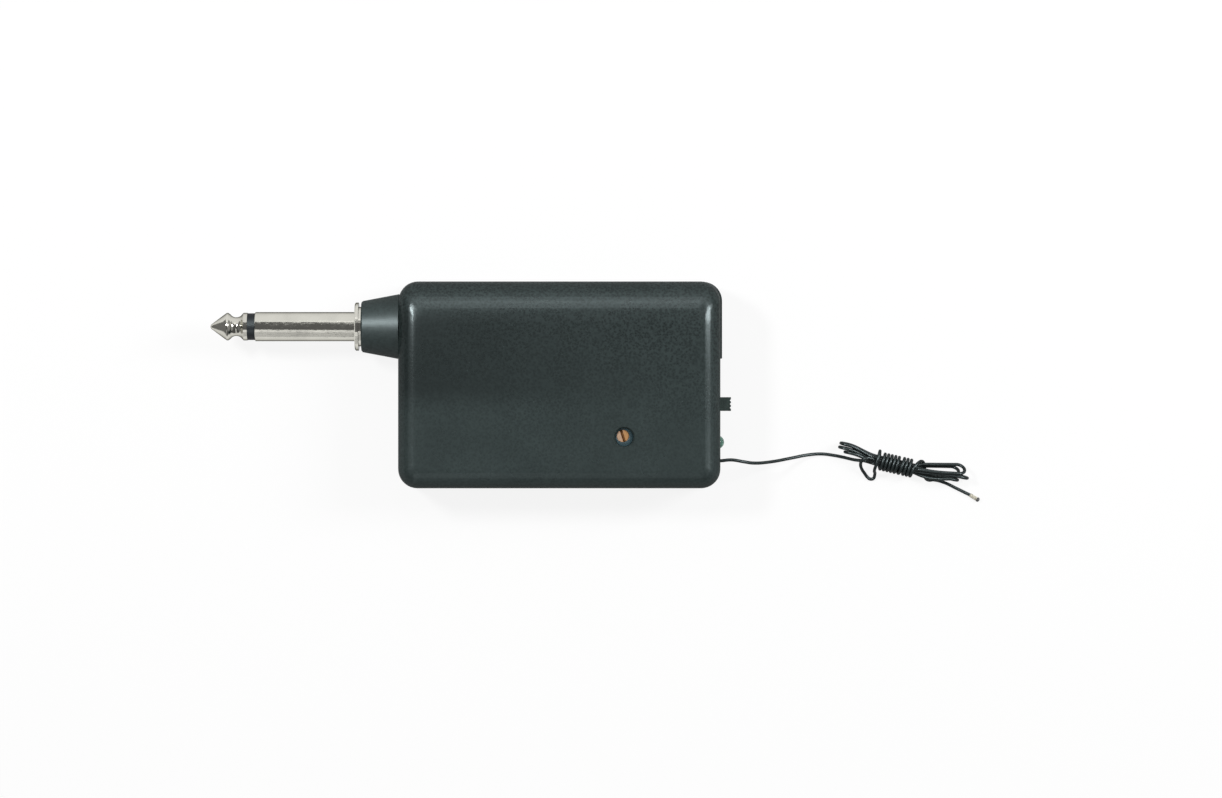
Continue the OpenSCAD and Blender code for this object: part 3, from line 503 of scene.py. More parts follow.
def rotor_copper(colour, painted_shade_colour):
    """Turned copper alloy that is bright on top, with painted shade down in its slot and on its top's
    right half.
    """
    material = blank("Rotor copper")
    tree = material.node_tree
    smudge = effect(tree, handling(), {"Smudge Scale": 900, "Speck Scale": 900})["Smudge"]
    bright = scaled(tree, coordinate(tree, "Z"), 0.0, 1.0, *SLOT_PAINTED_SHADE)
    side = scaled(tree, coordinate(tree, "X"), 0.0, 1.0, *ROTOR_SHADED_HALF)
    # Painted shade: the top's right half darker and more orange, and its smudges there take the shade
    # colour
    tint = mixed(tree, side, colour, tuple(c * left for c, left in zip(colour[:3], ROTOR_SHADE_TINT)) + (1,))
    dull = mixed(tree, side, toned(colour, ROTOR_DULL), painted_shade_colour)
    worn = mixed(tree, scaled(tree, smudge, 0.0, ROTOR_WEAR), tint, dull)
    # Painted shade down in the slot
    tone = mixed(tree, bright, painted_shade_colour, worn)
    shine = scaled(tree, smudge, *ROTOR_ROUGH)
    return finish(material, tone, shine, None, 0, Metallic=scaled(tree, smudge, *ROTOR_METAL))


# Where along X the cell's bare ends begin and its jacket changes tone, its roughness from clean to
# smudged, its metallic share from jacket to ends, and the depth of its fine lines
CELL_ENDS = (-0.0203, 0.0279)
CELL_BAND = -0.0085
CELL_ROUGH = (0.24, 0.36)
CELL_METAL = (0.35, 1.0)
CELL_LINES = 0.000003
# Width over which one colour goes over into the next
EDGE = 0.00005


def cell_jacket(band, jacket, bare):
    """Plain cell with a jacket in two tones and bare steel ends."""
    material = blank("Cell jacket")
    tree = material.node_tree
    along = coordinate(tree, "X")
    lines = effect(tree, fine_scratches(), {"Along": 300, "Across": 3000, "Sparse": 0.55})["Mask"]
    smudge = effect(tree, handling(), {"Smudge Scale": 120, "Speck Scale": 900})["Smudge"]
    worn = mixed(tree, scaled(tree, along, 0.0, 1.0, CELL_BAND, CELL_BAND + EDGE), band, jacket)
    first = scaled(tree, along, 1.0, 0.0, CELL_ENDS[0], CELL_ENDS[0] + EDGE)
    last = scaled(tree, along, 0.0, 1.0, CELL_ENDS[1], CELL_ENDS[1] + EDGE)
    ends = maths(tree, "MAXIMUM", first, last)
    tone = mixed(tree, ends, worn, bare)
    shine = scaled(tree, smudge, *CELL_ROUGH)
    return finish(material, tone, shine, lines, CELL_LINES, Metallic=scaled(tree, ends, *CELL_METAL))


# Where a coat's unevenness goes from one tone to the other
UNEVEN = (0.3, 0.7)


def lacquer(name, colour, pale, rough, scale, depth):
    """Smooth coated or jacketed surface with a slight unevenness."""
    material = blank(name)
    tree = material.node_tree
    grain = effect(tree, moulded_grain(), {"Fine": scale, "Coarse": scale / 3, "Coarse Share": 0.3})
    tone = mixed(tree, scaled(tree, grain["Mottle"], 0.0, 1.0, *UNEVEN), colour, pale)
    shine = scaled(tree, grain["Mottle"], *rough, *UNEVEN)
    return finish(material, tone, shine, grain["Height"], depth)


# Height from which a capacitor's top is bare, and its sleeve's roughness and grain
CAPACITOR_TOP = 0.01655
CAPACITOR_ROUGH = (0.22, 0.34)
CAPACITOR_GRAIN = 0.000008


def capacitor_sleeve(sleeve, pale, bare):
    """Shrink sleeve that leaves a capacitor's aluminium top bare."""
    material = blank("Capacitor sleeve")
    tree = material.node_tree
    grain = effect(tree, moulded_grain(), {"Fine": 2400, "Coarse": 800, "Coarse Share": 0.3})
    top = scaled(tree, coordinate(tree, "Z"), 0.0, 1.0, CAPACITOR_TOP, CAPACITOR_TOP + EDGE)
    tone = mixed(tree, top, mixed(tree, grain["Mottle"], sleeve, pale), bare)
    shine = scaled(tree, grain["Mottle"], *CAPACITOR_ROUGH)
    return finish(material, tone, shine, grain["Height"], CAPACITOR_GRAIN, Metallic=top)


# Middles of the resistors along X, half the length of their bodies, and their roughness and grain
RESISTOR_X = (-0.014, -0.004, 0.022)
RESISTOR_HALF = 0.00282
RESISTOR_ROUGH = (0.3, 0.45)
RESISTOR_GRAIN = 0.00001
# Bands of the resistors: where they begin and end on each side of the middle, and their colours
RESISTOR_BANDS = [
    (0.0, 0.0003, (0.02, 0.015, 0.012, 1)),
    (0.0008, 0.0013, (0.4, 0.03, 0.02, 1)),
    (0.0020, 0.0025, (0.42, 0.28, 0.08, 1)),
]


def resistor_lacquer(body, pale, bare):
    """Tan lacquer with rings of colour, and tinned leads."""
    material = blank("Resistor lacquer")
    tree = material.node_tree
    grain = effect(tree, moulded_grain(), {"Fine": 2800, "Coarse": 900, "Coarse Share": 0.3})
    along = coordinate(tree, "X")
    away = [maths(tree, "ABSOLUTE", maths(tree, "SUBTRACT", along, middle)) for middle in RESISTOR_X]
    near = away[0]
    for gap in away[1:]:
        near = maths(tree, "MINIMUM", near, gap)
    tone = mixed(tree, grain["Mottle"], body, pale)
    for start, end, colour in RESISTOR_BANDS:
        begun = scaled(tree, near, 0.0, 1.0, start - EDGE, start)
        left = scaled(tree, near, 1.0, 0.0, end, end + EDGE)
        tone = mixed(tree, maths(tree, "MULTIPLY", begun, left), tone, colour)
    lead = scaled(tree, near, 0.0, 1.0, RESISTOR_HALF, RESISTOR_HALF + EDGE)
    tone = mixed(tree, lead, tone, bare)
    shine = scaled(tree, grain["Mottle"], *RESISTOR_ROUGH)
    return finish(material, tone, shine, grain["Height"], RESISTOR_GRAIN, Metallic=lead)


def trimmer_plastic():
    """Moulded blue plastic of the trimmer."""
    name = "Trimmer plastic"
    if name in bpy.data.materials:
        return bpy.data.materials[name]
    return lacquer(
        name, (0.024, 0.050, 0.060, 1), (0.034, 0.070, 0.083, 1), rough=(0.3, 0.42), scale=3500,
        depth=0.00001,
    )


# The lamp's paler tone, its roughness, and how clear it is
LAMP_PALE = 1.25
LAMP_ROUGH = (0.06, 0.16)
LAMP_CLEAR = 0.75


def lamp_lens(colour):
    """Tinted epoxy, clear enough to see into."""
    material = blank("Lamp lens")
    tree = material.node_tree
    grain = effect(tree, moulded_grain(), {"Fine": 900, "Coarse": 300, "Coarse Share": 0.3})
    tone = mixed(tree, grain["Mottle"], colour, toned(colour, LAMP_PALE))
    shine = scaled(tree, grain["Mottle"], *LAMP_ROUGH)
    return finish(material, tone, shine, None, 0, Transmission_Weight=LAMP_CLEAR, IOR=1.5)


# Placing of finishes

def smooth(node):
    """Rounds the shading of a piece and keeps its sharp edges; its vertices stay as they are."""
    mesh = node.data
    mesh.polygons.foreach_set("use_smooth", [True] * len(mesh.polygons))
    weld = node.modifiers.new("Weld", "WELD")
    weld.merge_threshold = WELD_DISTANCE
    split = node.modifiers.new("Sharp edges", "EDGE_SPLIT")
    split.split_angle = SHARP_ANGLE
    split.use_edge_sharp = False
    normals = node.modifiers.new("Even normals", "WEIGHTED_NORMAL")
    normals.keep_sharp = True


def dress(material, *names):
    """Gives CAD nodes a finish."""
    for name in names:
        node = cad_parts[name]
        for place in node.material_slots:
            place.material = material
        smooth(node)


# Antenna wire

def ease(t):
    """0 to 1, starting and ending gently."""
    t = min(1.0, max(0.0, t))
    return t * t * (3 - 2 * t)


def mix(a, b, t):
    """The point a share t of the way from a to b."""
    return tuple(p + (q - p) * t for p, q in zip(a, b))


def fold_radius(fold):
    """Radius of a fold of the hank, half the distance between its two strands."""
    return math.hypot(fold[3], fold[4])


def fold_end(fold, way, side):
    """Where a fold's strand comes in (side -1) or goes out (side 1). way is 1 on the right and -1 on the
    left."""
    x, y, z, step_y, step_z = fold
    return x - way * fold_radius(fold), y + side * step_y, z + side * step_z


def fold_arc(fold, way):
    """Points round a fold, between its two strands."""
    x, y, z, step_y, step_z = fold
    r = fold_radius(fold)
    points = []
    for i in range(1, FOLD_STEPS):
        a = math.pi * i / FOLD_STEPS
        c = math.cos(a)
        points.append((x - way * r * (1 - math.sin(a)), y - step_y * c, z - step_z * c))
    return points


def strand(index, left, right):
    """Points of one strand from its left end, through the waist, to its right end."""
    place = STRAND_PLACES[index]
    waist = (WAIST_Y + place[0] * STRAND_HALF_STEP, WAIST_Z + place[1] * STRAND_ROW / 2)
    points = []
    for i in range(FOLD_STEPS):
        t = i / FOLD_STEPS
        points.append((left[0] + (WAIST_X[0] - left[0]) * t, *mix(left[1:], waist, ease(t))))
    for i in range(WAIST_STEPS):
        points.append((WAIST_X[0] + (WAIST_X[1] - WAIST_X[0]) * i / WAIST_STEPS, *waist))
    for i in range(FOLD_STEPS + 1):
        t = i / FOLD_STEPS
        y, z = mix(waist, right[1:], ease(t ** STRAND_HASTE[index]))
        sag = STRAND_SAGS[index] * math.sin(math.pi * t)
        points.append((WAIST_X[1] + (right[0] - WAIST_X[1]) * t, y + sag, z))
    return points


def bundle():
    """The folded strands of the hank, one after another."""
    points = []
    for i, right in enumerate(RIGHT_FOLDS):
        start = fold_end(LEFT_FOLDS[i - 1], -1, 1) if i else STRAND_START
        points += strand(2 * i, start, fold_end(right, 1, -1))
        points += fold_arc(right, 1)
        last = i == len(LEFT_FOLDS)
        end = STRAND_END if last else fold_end(LEFT_FOLDS[i], -1, -1)
        points += reversed(strand(2 * i + 1, end, fold_end(right, 1, 1)))
        if not last:
            points += fold_arc(LEFT_FOLDS[i], -1)
    return points


def wraps():
    """The turns that bind the hank, the first and last of them loose."""
    points = []
    for i in range(int((WRAP_END - WRAP_START) * WRAP_STEPS) + 1):
        turn = WRAP_START + i / WRAP_STEPS
        a = 2 * math.pi * turn
        begun = FIRST_DRAWN * ease(-turn / FIRST_DRAWN_OVER)
        loose = FIRST_LOOSE * ease(-turn / FIRST_LOOSE_OVER)
        last = ease((turn - LAST_AT) / LAST_OVER)
        apart = GAP * ease((turn - GAP_AT) / GAP_OVER)
        x = WRAP_X + WRAP_PITCH * turn + apart - begun + LAST_DRAWN * last
        half_y = WRAP_HALF_Y + loose + LAST_LOOSE * last
        half_z = WRAP_HALF_Z + FIRST_RISE * loose
        z = WAIST_Z + half_z * math.sin(a)
        points.append((x, WAIST_Y - half_y * math.cos(a), max(WIRE_LOW, z)))
    return points


def from_hank(point):
    """A point of the hank's frame in the part's frame, in metres."""
    x, y, z = point
    c, s = math.cos(HANK_TURN), math.sin(HANK_TURN)
    return Vector((HANK_AT[0] + x * c - y * s, HANK_AT[1] + x * s + y * c, z)) * MM


def antenna_points():
    """The whole antenna wire's line, from the board to the end of its jacket, in metres."""
    hank = bundle() + DROOP_ROUTE + wraps() + TAIL_ROUTE
    return [Vector(p) * MM for p in LEAD_ROUTE] + [from_hank(p) for p in hank]


# Paler tones of the antenna's jacket, the knob and the inside wires, and the plug nickel's duller tone
JACKET_PALE = 1.5
KNOB_PALE = 2.2
WIRE_PALE = 1.3
NICKEL_DULL = 0.84


class RECEIVER_OT_camera(bpy.types.Operator):
    """Makes the camera that looks straight at the front face"""

    bl_idname = "receiver.camera"
    bl_label = "Camera"

    def execute(self, context):
        studio = context.scene.receiver_studio
        data = bpy.data.cameras.new("camera")
        data.lens = studio.lens
        camera = bpy.data.objects.new("camera", data)
        distance = studio.view_width * studio.lens / data.sensor_width
        camera.location = Vector(studio.aim) + Vector((0, 0, distance))
        context.scene.collection.objects.link(camera)
        context.scene.camera = camera
        return {"FINISHED"}


class RECEIVER_OT_antenna(bpy.types.Operator):
    """Makes the antenna wire: its lead, its bound hank and its tail, as one line"""

    bl_idname = "receiver.antenna"
    bl_label = "Antenna wire"

    def execute(self, context):
        shape = context.scene.receiver_shape
        points = antenna_points()
        curve = bpy.data.curves.new("antenna_wire", "CURVE")
        curve.dimensions = "3D"
        curve.resolution_u = WIRE_STEPS
        curve.bevel_depth = shape.wire_d / 2
        curve.bevel_resolution = WIRE_ROUND
        curve.use_fill_caps = True
        line = curve.splines.new("BEZIER")
        line.bezier_points.add(len(points) - 1)
        for made, point in zip(line.bezier_points, points):
            made.co = point
            made.handle_left_type = "AUTO"
            made.handle_right_type = "AUTO"
        wire = bpy.data.objects.new("antenna_wire", curve)
        context.scene.collection.objects.link(wire)
        jacket = tuple(context.scene.receiver_colours.jacket)
        sheath = moulded(
            "Antenna jacket", jacket, toned(jacket, JACKET_PALE), rough=(0.32, 0.42), depth=0.0000015,
            fine=5200, coarse=1700, share=0.3, level=1.0,
        )
        curve.materials.append(sheath)
        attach(wire, "case")
        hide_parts("antenna_lead", "antenna_hank", "antenna_tail")
        return {"FINISHED"}


class RECEIVER_OT_antenna_strands(bpy.types.Operator):
    """Makes the twisted, tinned strands at the antenna's end, with the bead that closes them"""

    bl_idname = "receiver.antenna_strands"
    bl_label = "Antenna's bare end"

    def execute(self, context):
        shape = context.scene.receiver_shape
        start, end = from_hank(TAIL_ROUTE[-1]), from_hank(TIP_END)
        along = end - start
        length = along.length
        strand_d = shape.bare_d / BARE_ACROSS
        bm = bmesh.new()
        places = [(0.0, 0.0)]
        for i in range(shape.bare_strands):
            a = 2 * math.pi * i / shape.bare_strands
            places.append((strand_d * math.cos(a), strand_d * math.sin(a)))
        for x, y in places:
            ring = bmesh.ops.create_circle(
                bm, cap_ends=True, radius=strand_d / 2, segments=BARE_SIDES,
                matrix=Matrix.Translation((x, y, 0)),
            )
            faces = list({f for v in ring["verts"] for f in v.link_faces})
            edges = list({e for f in faces for e in f.edges})
            bmesh.ops.spin(
                bm, geom=faces + ring["verts"] + edges, cent=(0, 0, 0), axis=(0, 0, 1),
                dvec=(0, 0, length / BARE_STEPS), angle=BARE_TWIST, steps=BARE_STEPS, use_duplicate=False,
            )
        bead_at = Matrix.Translation((0, 0, length)) @ Matrix.Diagonal((1, 1, BEAD_FLAT, 1))
        bead = bmesh.ops.create_icosphere(
            bm, subdivisions=BEAD_FINE, radius=shape.bare_d * BEAD_RADIUS, matrix=bead_at,
        )
        for face in {f for v in bead["verts"] for f in v.link_faces}:
            face.material_index = 1
        bmesh.ops.remove_doubles(bm, verts=bm.verts, dist=WELD_DISTANCE)
        bmesh.ops.recalc_face_normals(bm, faces=bm.faces)
        turn = along.to_track_quat("Z", "Y").to_matrix().to_4x4()
        bmesh.ops.transform(bm, matrix=Matrix.Translation(start) @ turn, verts=bm.verts)
        mesh = bpy.data.meshes.new("antenna_strands")
        for face in bm.faces:
            face.smooth = True
        bm.to_mesh(mesh)
        bm.free()
        for label, colour, pale in [
            # Painted reflection: the tinned strands' pale colour is plain paint, not metal
            ("Tinned strands", (0.66, 0.63, 0.52, 1), (0.74, 0.71, 0.6, 1)),
            # The bead at the strands' end is near black
            ("Solder bead", (0.06, 0.06, 0.06, 1), (0.1, 0.1, 0.1, 1)),
        ]:
            coat = lacquer(label, colour, pale, rough=(0.3, 0.45), scale=5000, depth=0.000004)
            mesh.materials.append(coat)
        strands = bpy.data.objects.new("antenna_strands", mesh)
        context.scene.collection.objects.link(strands)
        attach(strands, "case")
        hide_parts("antenna_tip")
        return {"FINISHED"}


class RECEIVER_OT_housing(bpy.types.Operator):
    """Finishes the case, its battery door, neck and screws"""

    bl_idname = "receiver.housing"
    bl_label = "Housing"

    def execute(self, context):
        colours = context.scene.receiver_colours
        dark, pale = tuple(colours.case), tuple(colours.case_pale)
        grained = {
            "rough": (0.26, 0.3), "depth": 0.000016, "fine": 4200, "coarse": 1900, "share": 0.5,
            "level": 0.75,
        }
        case = moulded("Housing plastic", dark, pale, **grained, gloss=FACE_GLOSS, crowned=True)
        door = moulded("Door plastic", dark, pale, **grained, gloss=DOOR_GLOSS)
        neck = moulded(
            "Neck plastic", dark, pale, rough=(0.42, 0.47), depth=0.000005, fine=3200, coarse=1100,
            share=0.3, level=1.0,
        )
        screws = metal(
            "Screw steel", (0.55, 0.55, 0.54, 1), (0.4, 0.4, 0.4, 1), rough=(0.3, 0.4), along=1500,
            across=9000, sparse=0.5, depth=0.000006,
        )
        dress(case, "front_shell", "rear_shell")
        dress(door, "battery_door")
        dress(neck, "plug_neck")
        dress(screws, "case_screws")
        return {"FINISHED"}


class RECEIVER_OT_plug(bpy.types.Operator):
    """Finishes the plug, its nut, and all that is tinned: lugs, terminals and leads"""

    bl_idname = "receiver.plug"
    bl_label = "Plug"

    def execute(self, context):
        bright = tuple(context.scene.receiver_colours.nickel)
        plating = metal(
            "Plug nickel", bright, toned(bright, NICKEL_DULL), rough=(0.07, 0.13), along=900, across=7000,
            sparse=0.55, depth=0.0000018,
        )
        ring = moulded(
            "Insulator black", (0.012, 0.013, 0.017, 1), (0.02, 0.022, 0.027, 1), rough=(0.25, 0.35),
            depth=0.000004, fine=4000, coarse=1300, share=0.3, level=1.0,
        )
        nut = metal(
            "Nut steel", (0.6, 0.59, 0.56, 1), (0.45, 0.45, 0.44, 1), rough=(0.28, 0.4), along=2500,
            across=9000, sparse=0.52, depth=0.000006,
        )
        tinned = metal(
            "Lug tin", (0.78, 0.77, 0.73, 1), (0.62, 0.61, 0.58, 1), rough=(0.3, 0.45), along=1800,
            across=6000, sparse=0.5, depth=0.000008,
        )
        dress(plating, "plug_sleeve", "plug_tip")
        dress(ring, "plug_insulator")
        dress(nut, "plug_nut")
        dress(tinned, "sleeve_lug", "tip_lug", "switch_terminals", "lamp_leads", "chip_leads")
        return {"FINISHED"}


# Collar of the trimmer's body, which fills its access hole round the rotor: middle and radius of its
# outside and of its bore, and its lower and upper end
COLLAR_OUTSIDE = ((0.0141, -0.0114), 0.00198)
COLLAR_BORE = ((0.0138, -0.0111), 0.00136)
COLLAR_Z = (0.01775, 0.0193)
COLLAR_BEVEL = 0.00008
COLLAR_BEVEL_STEPS = 2
COLLAR_SIDES = 64


class RECEIVER_OT_trimmer_collar(bpy.types.Operator):
    """Makes the collar of the trimmer's body, round its rotor"""

    bl_idname = "receiver.trimmer_collar"
    bl_label = "Trimmer collar"

    def execute(self, context):
        bm = bmesh.new()
        for (x, y), radius in [COLLAR_OUTSIDE, COLLAR_BORE]:
            at = Matrix.Translation((x, y, COLLAR_Z[0]))
            bmesh.ops.create_circle(bm, segments=COLLAR_SIDES, radius=radius, matrix=at)
        sheet = bmesh.ops.bridge_loops(bm, edges=bm.edges)["faces"]
        raised = bmesh.ops.extrude_face_region(bm, geom=sheet, use_keep_orig=True)["geom"]
        top = [part for part in raised if isinstance(part, bmesh.types.BMVert)]
        bmesh.ops.translate(bm, vec=(0, 0, COLLAR_Z[1] - COLLAR_Z[0]), verts=top)
        bmesh.ops.recalc_face_normals(bm, faces=bm.faces)
        upper = [edge for edge in bm.edges if all(corner in top for corner in edge.verts)]
        rims = [edge for edge in upper if edge.calc_face_angle(0) > SHARP_ANGLE]
        bmesh.ops.bevel(
            bm, geom=rims, offset=COLLAR_BEVEL, affect="EDGES", segments=COLLAR_BEVEL_STEPS, profile=0.5,
            material=-1,
        )
        mesh = bpy.data.meshes.new("trimmer_collar")
        bm.to_mesh(mesh)
        bm.free()
        mesh.materials.append(trimmer_plastic())
        collar = bpy.data.objects.new("trimmer_collar", mesh)
        context.scene.collection.objects.link(collar)
        smooth(collar)
        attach(collar, "case")
        return {"FINISHED"}


class RECEIVER_OT_controls(bpy.types.Operator):
    """Finishes the switch, the lamp, the tuning trimmer and the tuning coil"""

    bl_idname = "receiver.controls"
    bl_label = "Controls"

    def execute(self, context):
        colours = context.scene.receiver_colours
        knob = tuple(colours.knob)
        black = moulded(
            "Knob plastic", knob, toned(knob, KNOB_PALE), rough=(0.4, 0.5), depth=0.000015, fine=4200,
            coarse=12000, share=0.35, level=0.4,
        )
        # Colour of the rotor's painted shade, in its slot and on its right half
        copper = rotor_copper(tuple(colours.rotor), painted_shade_colour=(0.32, 0.15, 0.05, 1))
        steel = metal(
            "Stamped steel", (0.58, 0.58, 0.57, 1), (0.44, 0.44, 0.43, 1), rough=(0.28, 0.38), along=700,
            across=7000, sparse=0.52, depth=0.000006,
        )
        board = lacquer(
            "Phenolic", (0.17, 0.085, 0.04, 1), (0.25, 0.13, 0.065, 1), rough=(0.45, 0.6), scale=2600,
            depth=0.00002,
        )
        dress(black, "switch_knob")
        dress(copper, "trimmer_rotor")
        dress(trimmer_plastic(), "trimmer_body")
        dress(steel, "switch_frame", "coil_can")
        dress(board, "switch_base", "coil_core")
        dress(lamp_lens(tuple(colours.lamp)), "lamp_lens")
        return {"FINISHED"}


class RECEIVER_OT_board(bpy.types.Operator):
    """Finishes the circuit board, its components and the inside wires"""

    bl_idname = "receiver.board"
    bl_label = "Circuit board"

    def execute(self, context):
        mask = lacquer(
            "Solder mask", (0.02, 0.12, 0.045, 1), (0.035, 0.19, 0.075, 1), rough=(0.25, 0.38), scale=1800,
            depth=0.00002,
        )
        chip = moulded(
            "Chip epoxy", (0.016, 0.016, 0.017, 1), (0.03, 0.03, 0.031, 1), rough=(0.5, 0.62),
            depth=0.000012, fine=5200, coarse=2000, share=0.4, level=0.4,
        )
        sleeve = capacitor_sleeve(
            (0.02, 0.028, 0.12, 1), (0.03, 0.042, 0.17, 1), bare=(0.72, 0.72, 0.71, 1),
        )
        tan = resistor_lacquer((0.55, 0.38, 0.21, 1), (0.66, 0.48, 0.28, 1), bare=(0.7, 0.69, 0.66, 1))
        dress(mask, "circuit_board")
        dress(chip, "chip_body")
        dress(sleeve, "capacitors")
        dress(tan, "resistors")
        for label, colour, names in [
            ("Wire black", (0.018, 0.018, 0.02, 1), ["sleeve_wire", "negative_wire"]),
            ("Wire white", (0.62, 0.62, 0.58, 1), ["tip_wire"]),
            ("Wire red", (0.42, 0.02, 0.02, 1), ["positive_wire"]),
        ]:
            pale = toned(colour, WIRE_PALE)
            dress(lacquer(label, colour, pale, rough=(0.35, 0.5), scale=4200, depth=0.00001), *names)
        return {"FINISHED"}


class RECEIVER_OT_power(bpy.types.Operator):
    """Finishes the cell, its spring and its contacts"""

    bl_idname = "receiver.power"
    bl_label = "Cell and contacts"

    def execute(self, context):
        cell = cell_jacket(
            band=(0.045, 0.047, 0.052, 1), jacket=(0.24, 0.245, 0.26, 1), bare=(0.6, 0.6, 0.58, 1),
        )
        steel = metal(
            "Contact steel", (0.66, 0.65, 0.62, 1), (0.52, 0.51, 0.49, 1), rough=(0.22, 0.34), along=1200,
            across=8000, sparse=0.54, depth=0.000005,
        )
        dress(cell, "battery_cell")
        dress(steel, "battery_spring", "positive_contact", "negative_contact")
        return {"FINISHED"}


# Studio

FLOOR_SIDE = 6.0
FLOOR_Z = -0.00005
# The floor's brightness where it is seen, how much it takes shadows there, and its tone for other light
FLOOR_GLOW = 0.88
FLOOR_LIT = (0.13, 0.13, 0.13, 1)
FLOOR_TONE = (0.85, 0.85, 0.85, 1)
WHITE = (1, 1, 1, 1)
# Lamps: place, point that they face, and the two sides
KEY = ((0, 0.329, 0.503), (0, 0, 0.015), (0.13, 0.28))
LEFT_LAMP = ((-0.256, 0.144, 0.44), (-0.032, 0.016, 0.015), (0.07, 0.09))
RIGHT_LAMP = ((0.373, 0.125, 0.356), (0.032, 0.016, 0.015), (0.25, 0.13))
# Cards that only reflections see: place, two sides, turn, and how bright they are
QUARTER = math.radians(90)
CARDS = {
    "ceiling": ((0, 0.05, 1.7), (2.8, 2.3), (0, 0, 0), 0.13),
    "near_wall": ((0, -1.1, 0.85), (2.8, 1.7), (QUARTER, 0, 0), 0.1),
    "left_wall": ((-1.4, 0.05, 0.85), (1.7, 2.3), (0, QUARTER, 0), 0.2),
    "right_wall": ((1.4, 0.05, 0.85), (1.7, 2.3), (0, QUARTER, 0), 0.35),
    "right_glow": ((0.42, 0.09, 0.4), (0.2, 0.2), (0, QUARTER / 2, 0), 1.6),
    "plug_upper": ((-0.26, -0.904, 1.266), (0.32, 0.607), (math.radians(61), 0, 0), 1.05),
    "plug_lower": ((-0.241, -1.05, 0.5), (0.318, 1.0), (QUARTER, 0, 0), 0.7),
}


def white_seen(tree):
    """1 for rays that see the background: those of the camera, of reflections and through glass."""
    rays = add(tree, "LightPath").outputs
    shiny = maths(tree, "MAXIMUM", rays["Is Camera Ray"], rays["Is Glossy Ray"])
    return maths(tree, "MAXIMUM", shiny, rays["Is Transmission Ray"])


def panel(name, size, matrix):
    """A flat rectangle of the studio."""
    bm = bmesh.new()
    bmesh.ops.create_grid(bm, x_segments=1, y_segments=1, size=0.5)
    bmesh.ops.scale(bm, vec=(size[0], size[1], 1), verts=bm.verts)
    bmesh.ops.transform(bm, matrix=matrix, verts=bm.verts)
    mesh = bpy.data.meshes.new(name)
    bm.to_mesh(mesh)
    bm.free()
    made = bpy.data.objects.new(name, mesh)
    bpy.context.scene.collection.objects.link(made)
    return made


def softbox(name, at, aim, size, power):
    """A rectangular lamp that faces a point, with its second side in the plane of that line and Y."""
    back = (Vector(at) - Vector(aim)).normalized()
    side = Vector((0, 1, 0)).cross(back).normalized()
    turn = Matrix((side, back.cross(side), back)).transposed()
    data = bpy.data.lights.new(name, "AREA")
    data.shape = "RECTANGLE"
    data.size, data.size_y = size
    data.energy = power
    made = bpy.data.objects.new(name, data)
    made.matrix_world = Matrix.Translation(at) @ turn.to_4x4()
    bpy.context.scene.collection.objects.link(made)
    return made


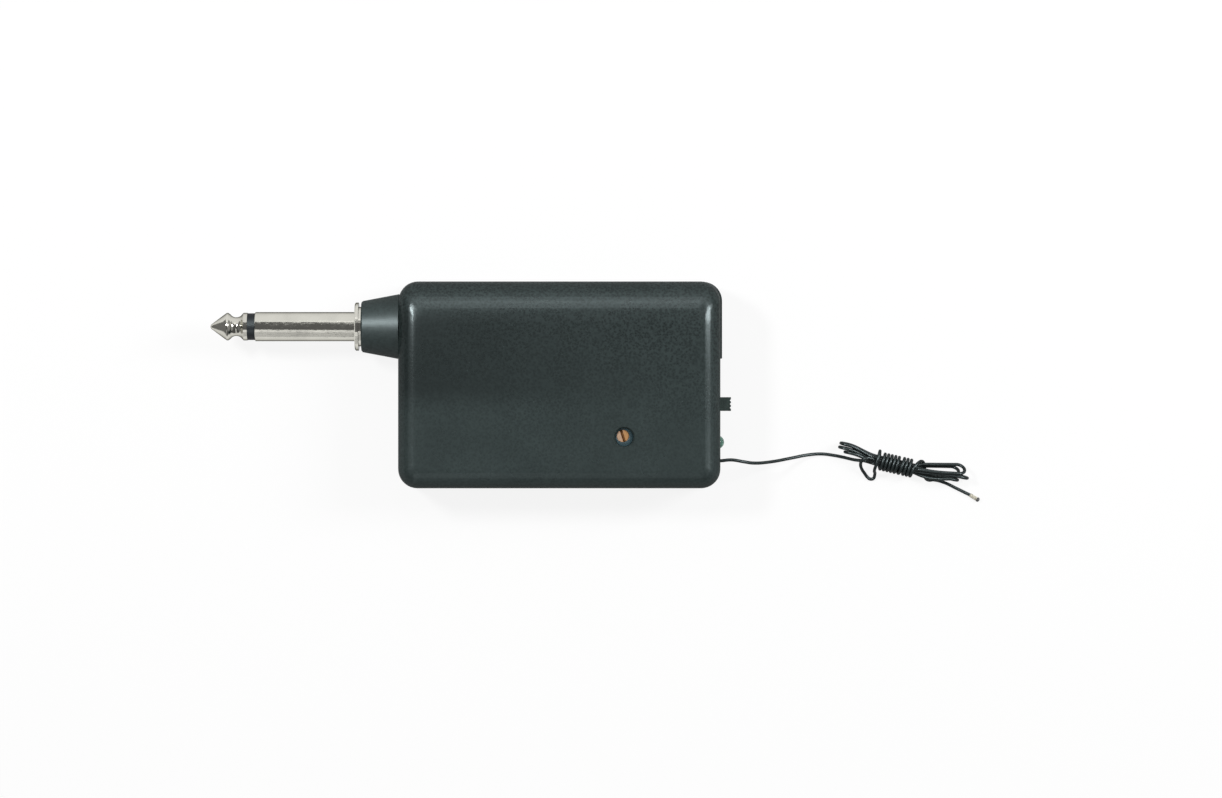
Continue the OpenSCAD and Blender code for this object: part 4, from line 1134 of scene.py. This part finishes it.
class RECEIVER_OT_stage(bpy.types.Operator):
    """Makes the pale floor, the cards that reflections see, the lamps and the room's light"""

    bl_idname = "receiver.stage"
    bl_label = "Studio"

    def execute(self, context):
        scene = context.scene
        studio = scene.receiver_studio
        scene.view_settings.view_transform = "Standard"

        floor = panel("floor", (FLOOR_SIDE, FLOOR_SIDE), Matrix.Translation((0, 0, FLOOR_Z)))
        paint = blank("Floor")
        tree = paint.node_tree
        lit = add(tree, "BsdfDiffuse", {"Color": FLOOR_TONE})
        glow = add(tree, "Emission", {"Color": WHITE, "Strength": FLOOR_GLOW})
        shaded = add(tree, "BsdfDiffuse", {"Color": FLOOR_LIT})
        both = add(tree, "AddShader", {0: glow.outputs[0], 1: shaded.outputs[0]})
        either = add(tree, "MixShader", {0: white_seen(tree), 1: lit.outputs[0], 2: both.outputs[0]})
        output = add(tree, "OutputMaterial")
        tree.links.new(either.outputs[0], output.inputs["Surface"])
        floor.data.materials.append(paint)

        for name, (at, size, turn, brightness) in CARDS.items():
            card = panel(name, size, Matrix.Translation(at) @ Euler(turn).to_matrix().to_4x4())
            paint = blank(name)
            tree = paint.node_tree
            glow = add(tree, "Emission", {"Color": WHITE, "Strength": brightness})
            output = add(tree, "OutputMaterial")
            tree.links.new(glow.outputs[0], output.inputs["Surface"])
            card.data.materials.append(paint)
            card.visible_camera = False
            card.visible_diffuse = False
            card.visible_shadow = False

        softbox("key_lamp", *KEY, studio.key_power)
        softbox("left_lamp", *LEFT_LAMP, studio.left_power)
        softbox("right_lamp", *RIGHT_LAMP, studio.right_power)

        world = bpy.data.worlds.new("room")
        world.use_nodes = True
        tree = world.node_tree
        tree.nodes.clear()
        white = add(tree, "Background", {"Color": WHITE, "Strength": 1.0})
        room = add(tree, "Background", {"Color": WHITE, "Strength": studio.room})
        either = add(tree, "MixShader", {0: white_seen(tree), 1: room.outputs[0], 2: white.outputs[0]})
        output = add(tree, "OutputWorld")
        tree.links.new(either.outputs[0], output.inputs["Surface"])
        world.cycles.sampling_method = "NONE"
        scene.world = world
        return {"FINISHED"}


OPERATORS = [
    RECEIVER_OT_camera,
    RECEIVER_OT_antenna_strands,
    RECEIVER_OT_antenna,
    RECEIVER_OT_housing,
    RECEIVER_OT_plug,
    RECEIVER_OT_trimmer_collar,
    RECEIVER_OT_controls,
    RECEIVER_OT_board,
    RECEIVER_OT_power,
    RECEIVER_OT_stage,
]


class RECEIVER_PT_panel(bpy.types.Panel):
    """Lists the steps that make the receiver's looks"""

    bl_label = "Receiver"
    bl_space_type = "VIEW_3D"
    bl_region_type = "UI"
    bl_category = "Receiver"

    def draw(self, context):
        for operator in OPERATORS:
            self.layout.operator(operator.bl_idname)


GROUPS = {
    "receiver_shape": ReceiverShape,
    "receiver_colours": ReceiverColours,
    "receiver_studio": ReceiverStudio,
}


def register():
    """Adds the classes and the scene's properties."""
    for made in [*GROUPS.values(), *OPERATORS, RECEIVER_PT_panel]:
        bpy.utils.register_class(made)
    for name, group in GROUPS.items():
        setattr(bpy.types.Scene, name, PointerProperty(type=group))


def unregister():
    """Takes them away again."""
    for name in GROUPS:
        delattr(bpy.types.Scene, name)
    for made in [RECEIVER_PT_panel, *reversed(OPERATORS), *GROUPS.values()]:
        bpy.utils.unregister_class(made)


def main():
    """Makes everything."""
    register()
    bpy.ops.receiver.camera()
    bpy.ops.receiver.antenna_strands()
    bpy.ops.receiver.antenna()
    bpy.ops.receiver.housing()
    bpy.ops.receiver.plug()
    bpy.ops.receiver.trimmer_collar()
    bpy.ops.receiver.controls()
    bpy.ops.receiver.board()
    bpy.ops.receiver.power()
    bpy.ops.receiver.stage()


if __name__ == "__main__":
    main()
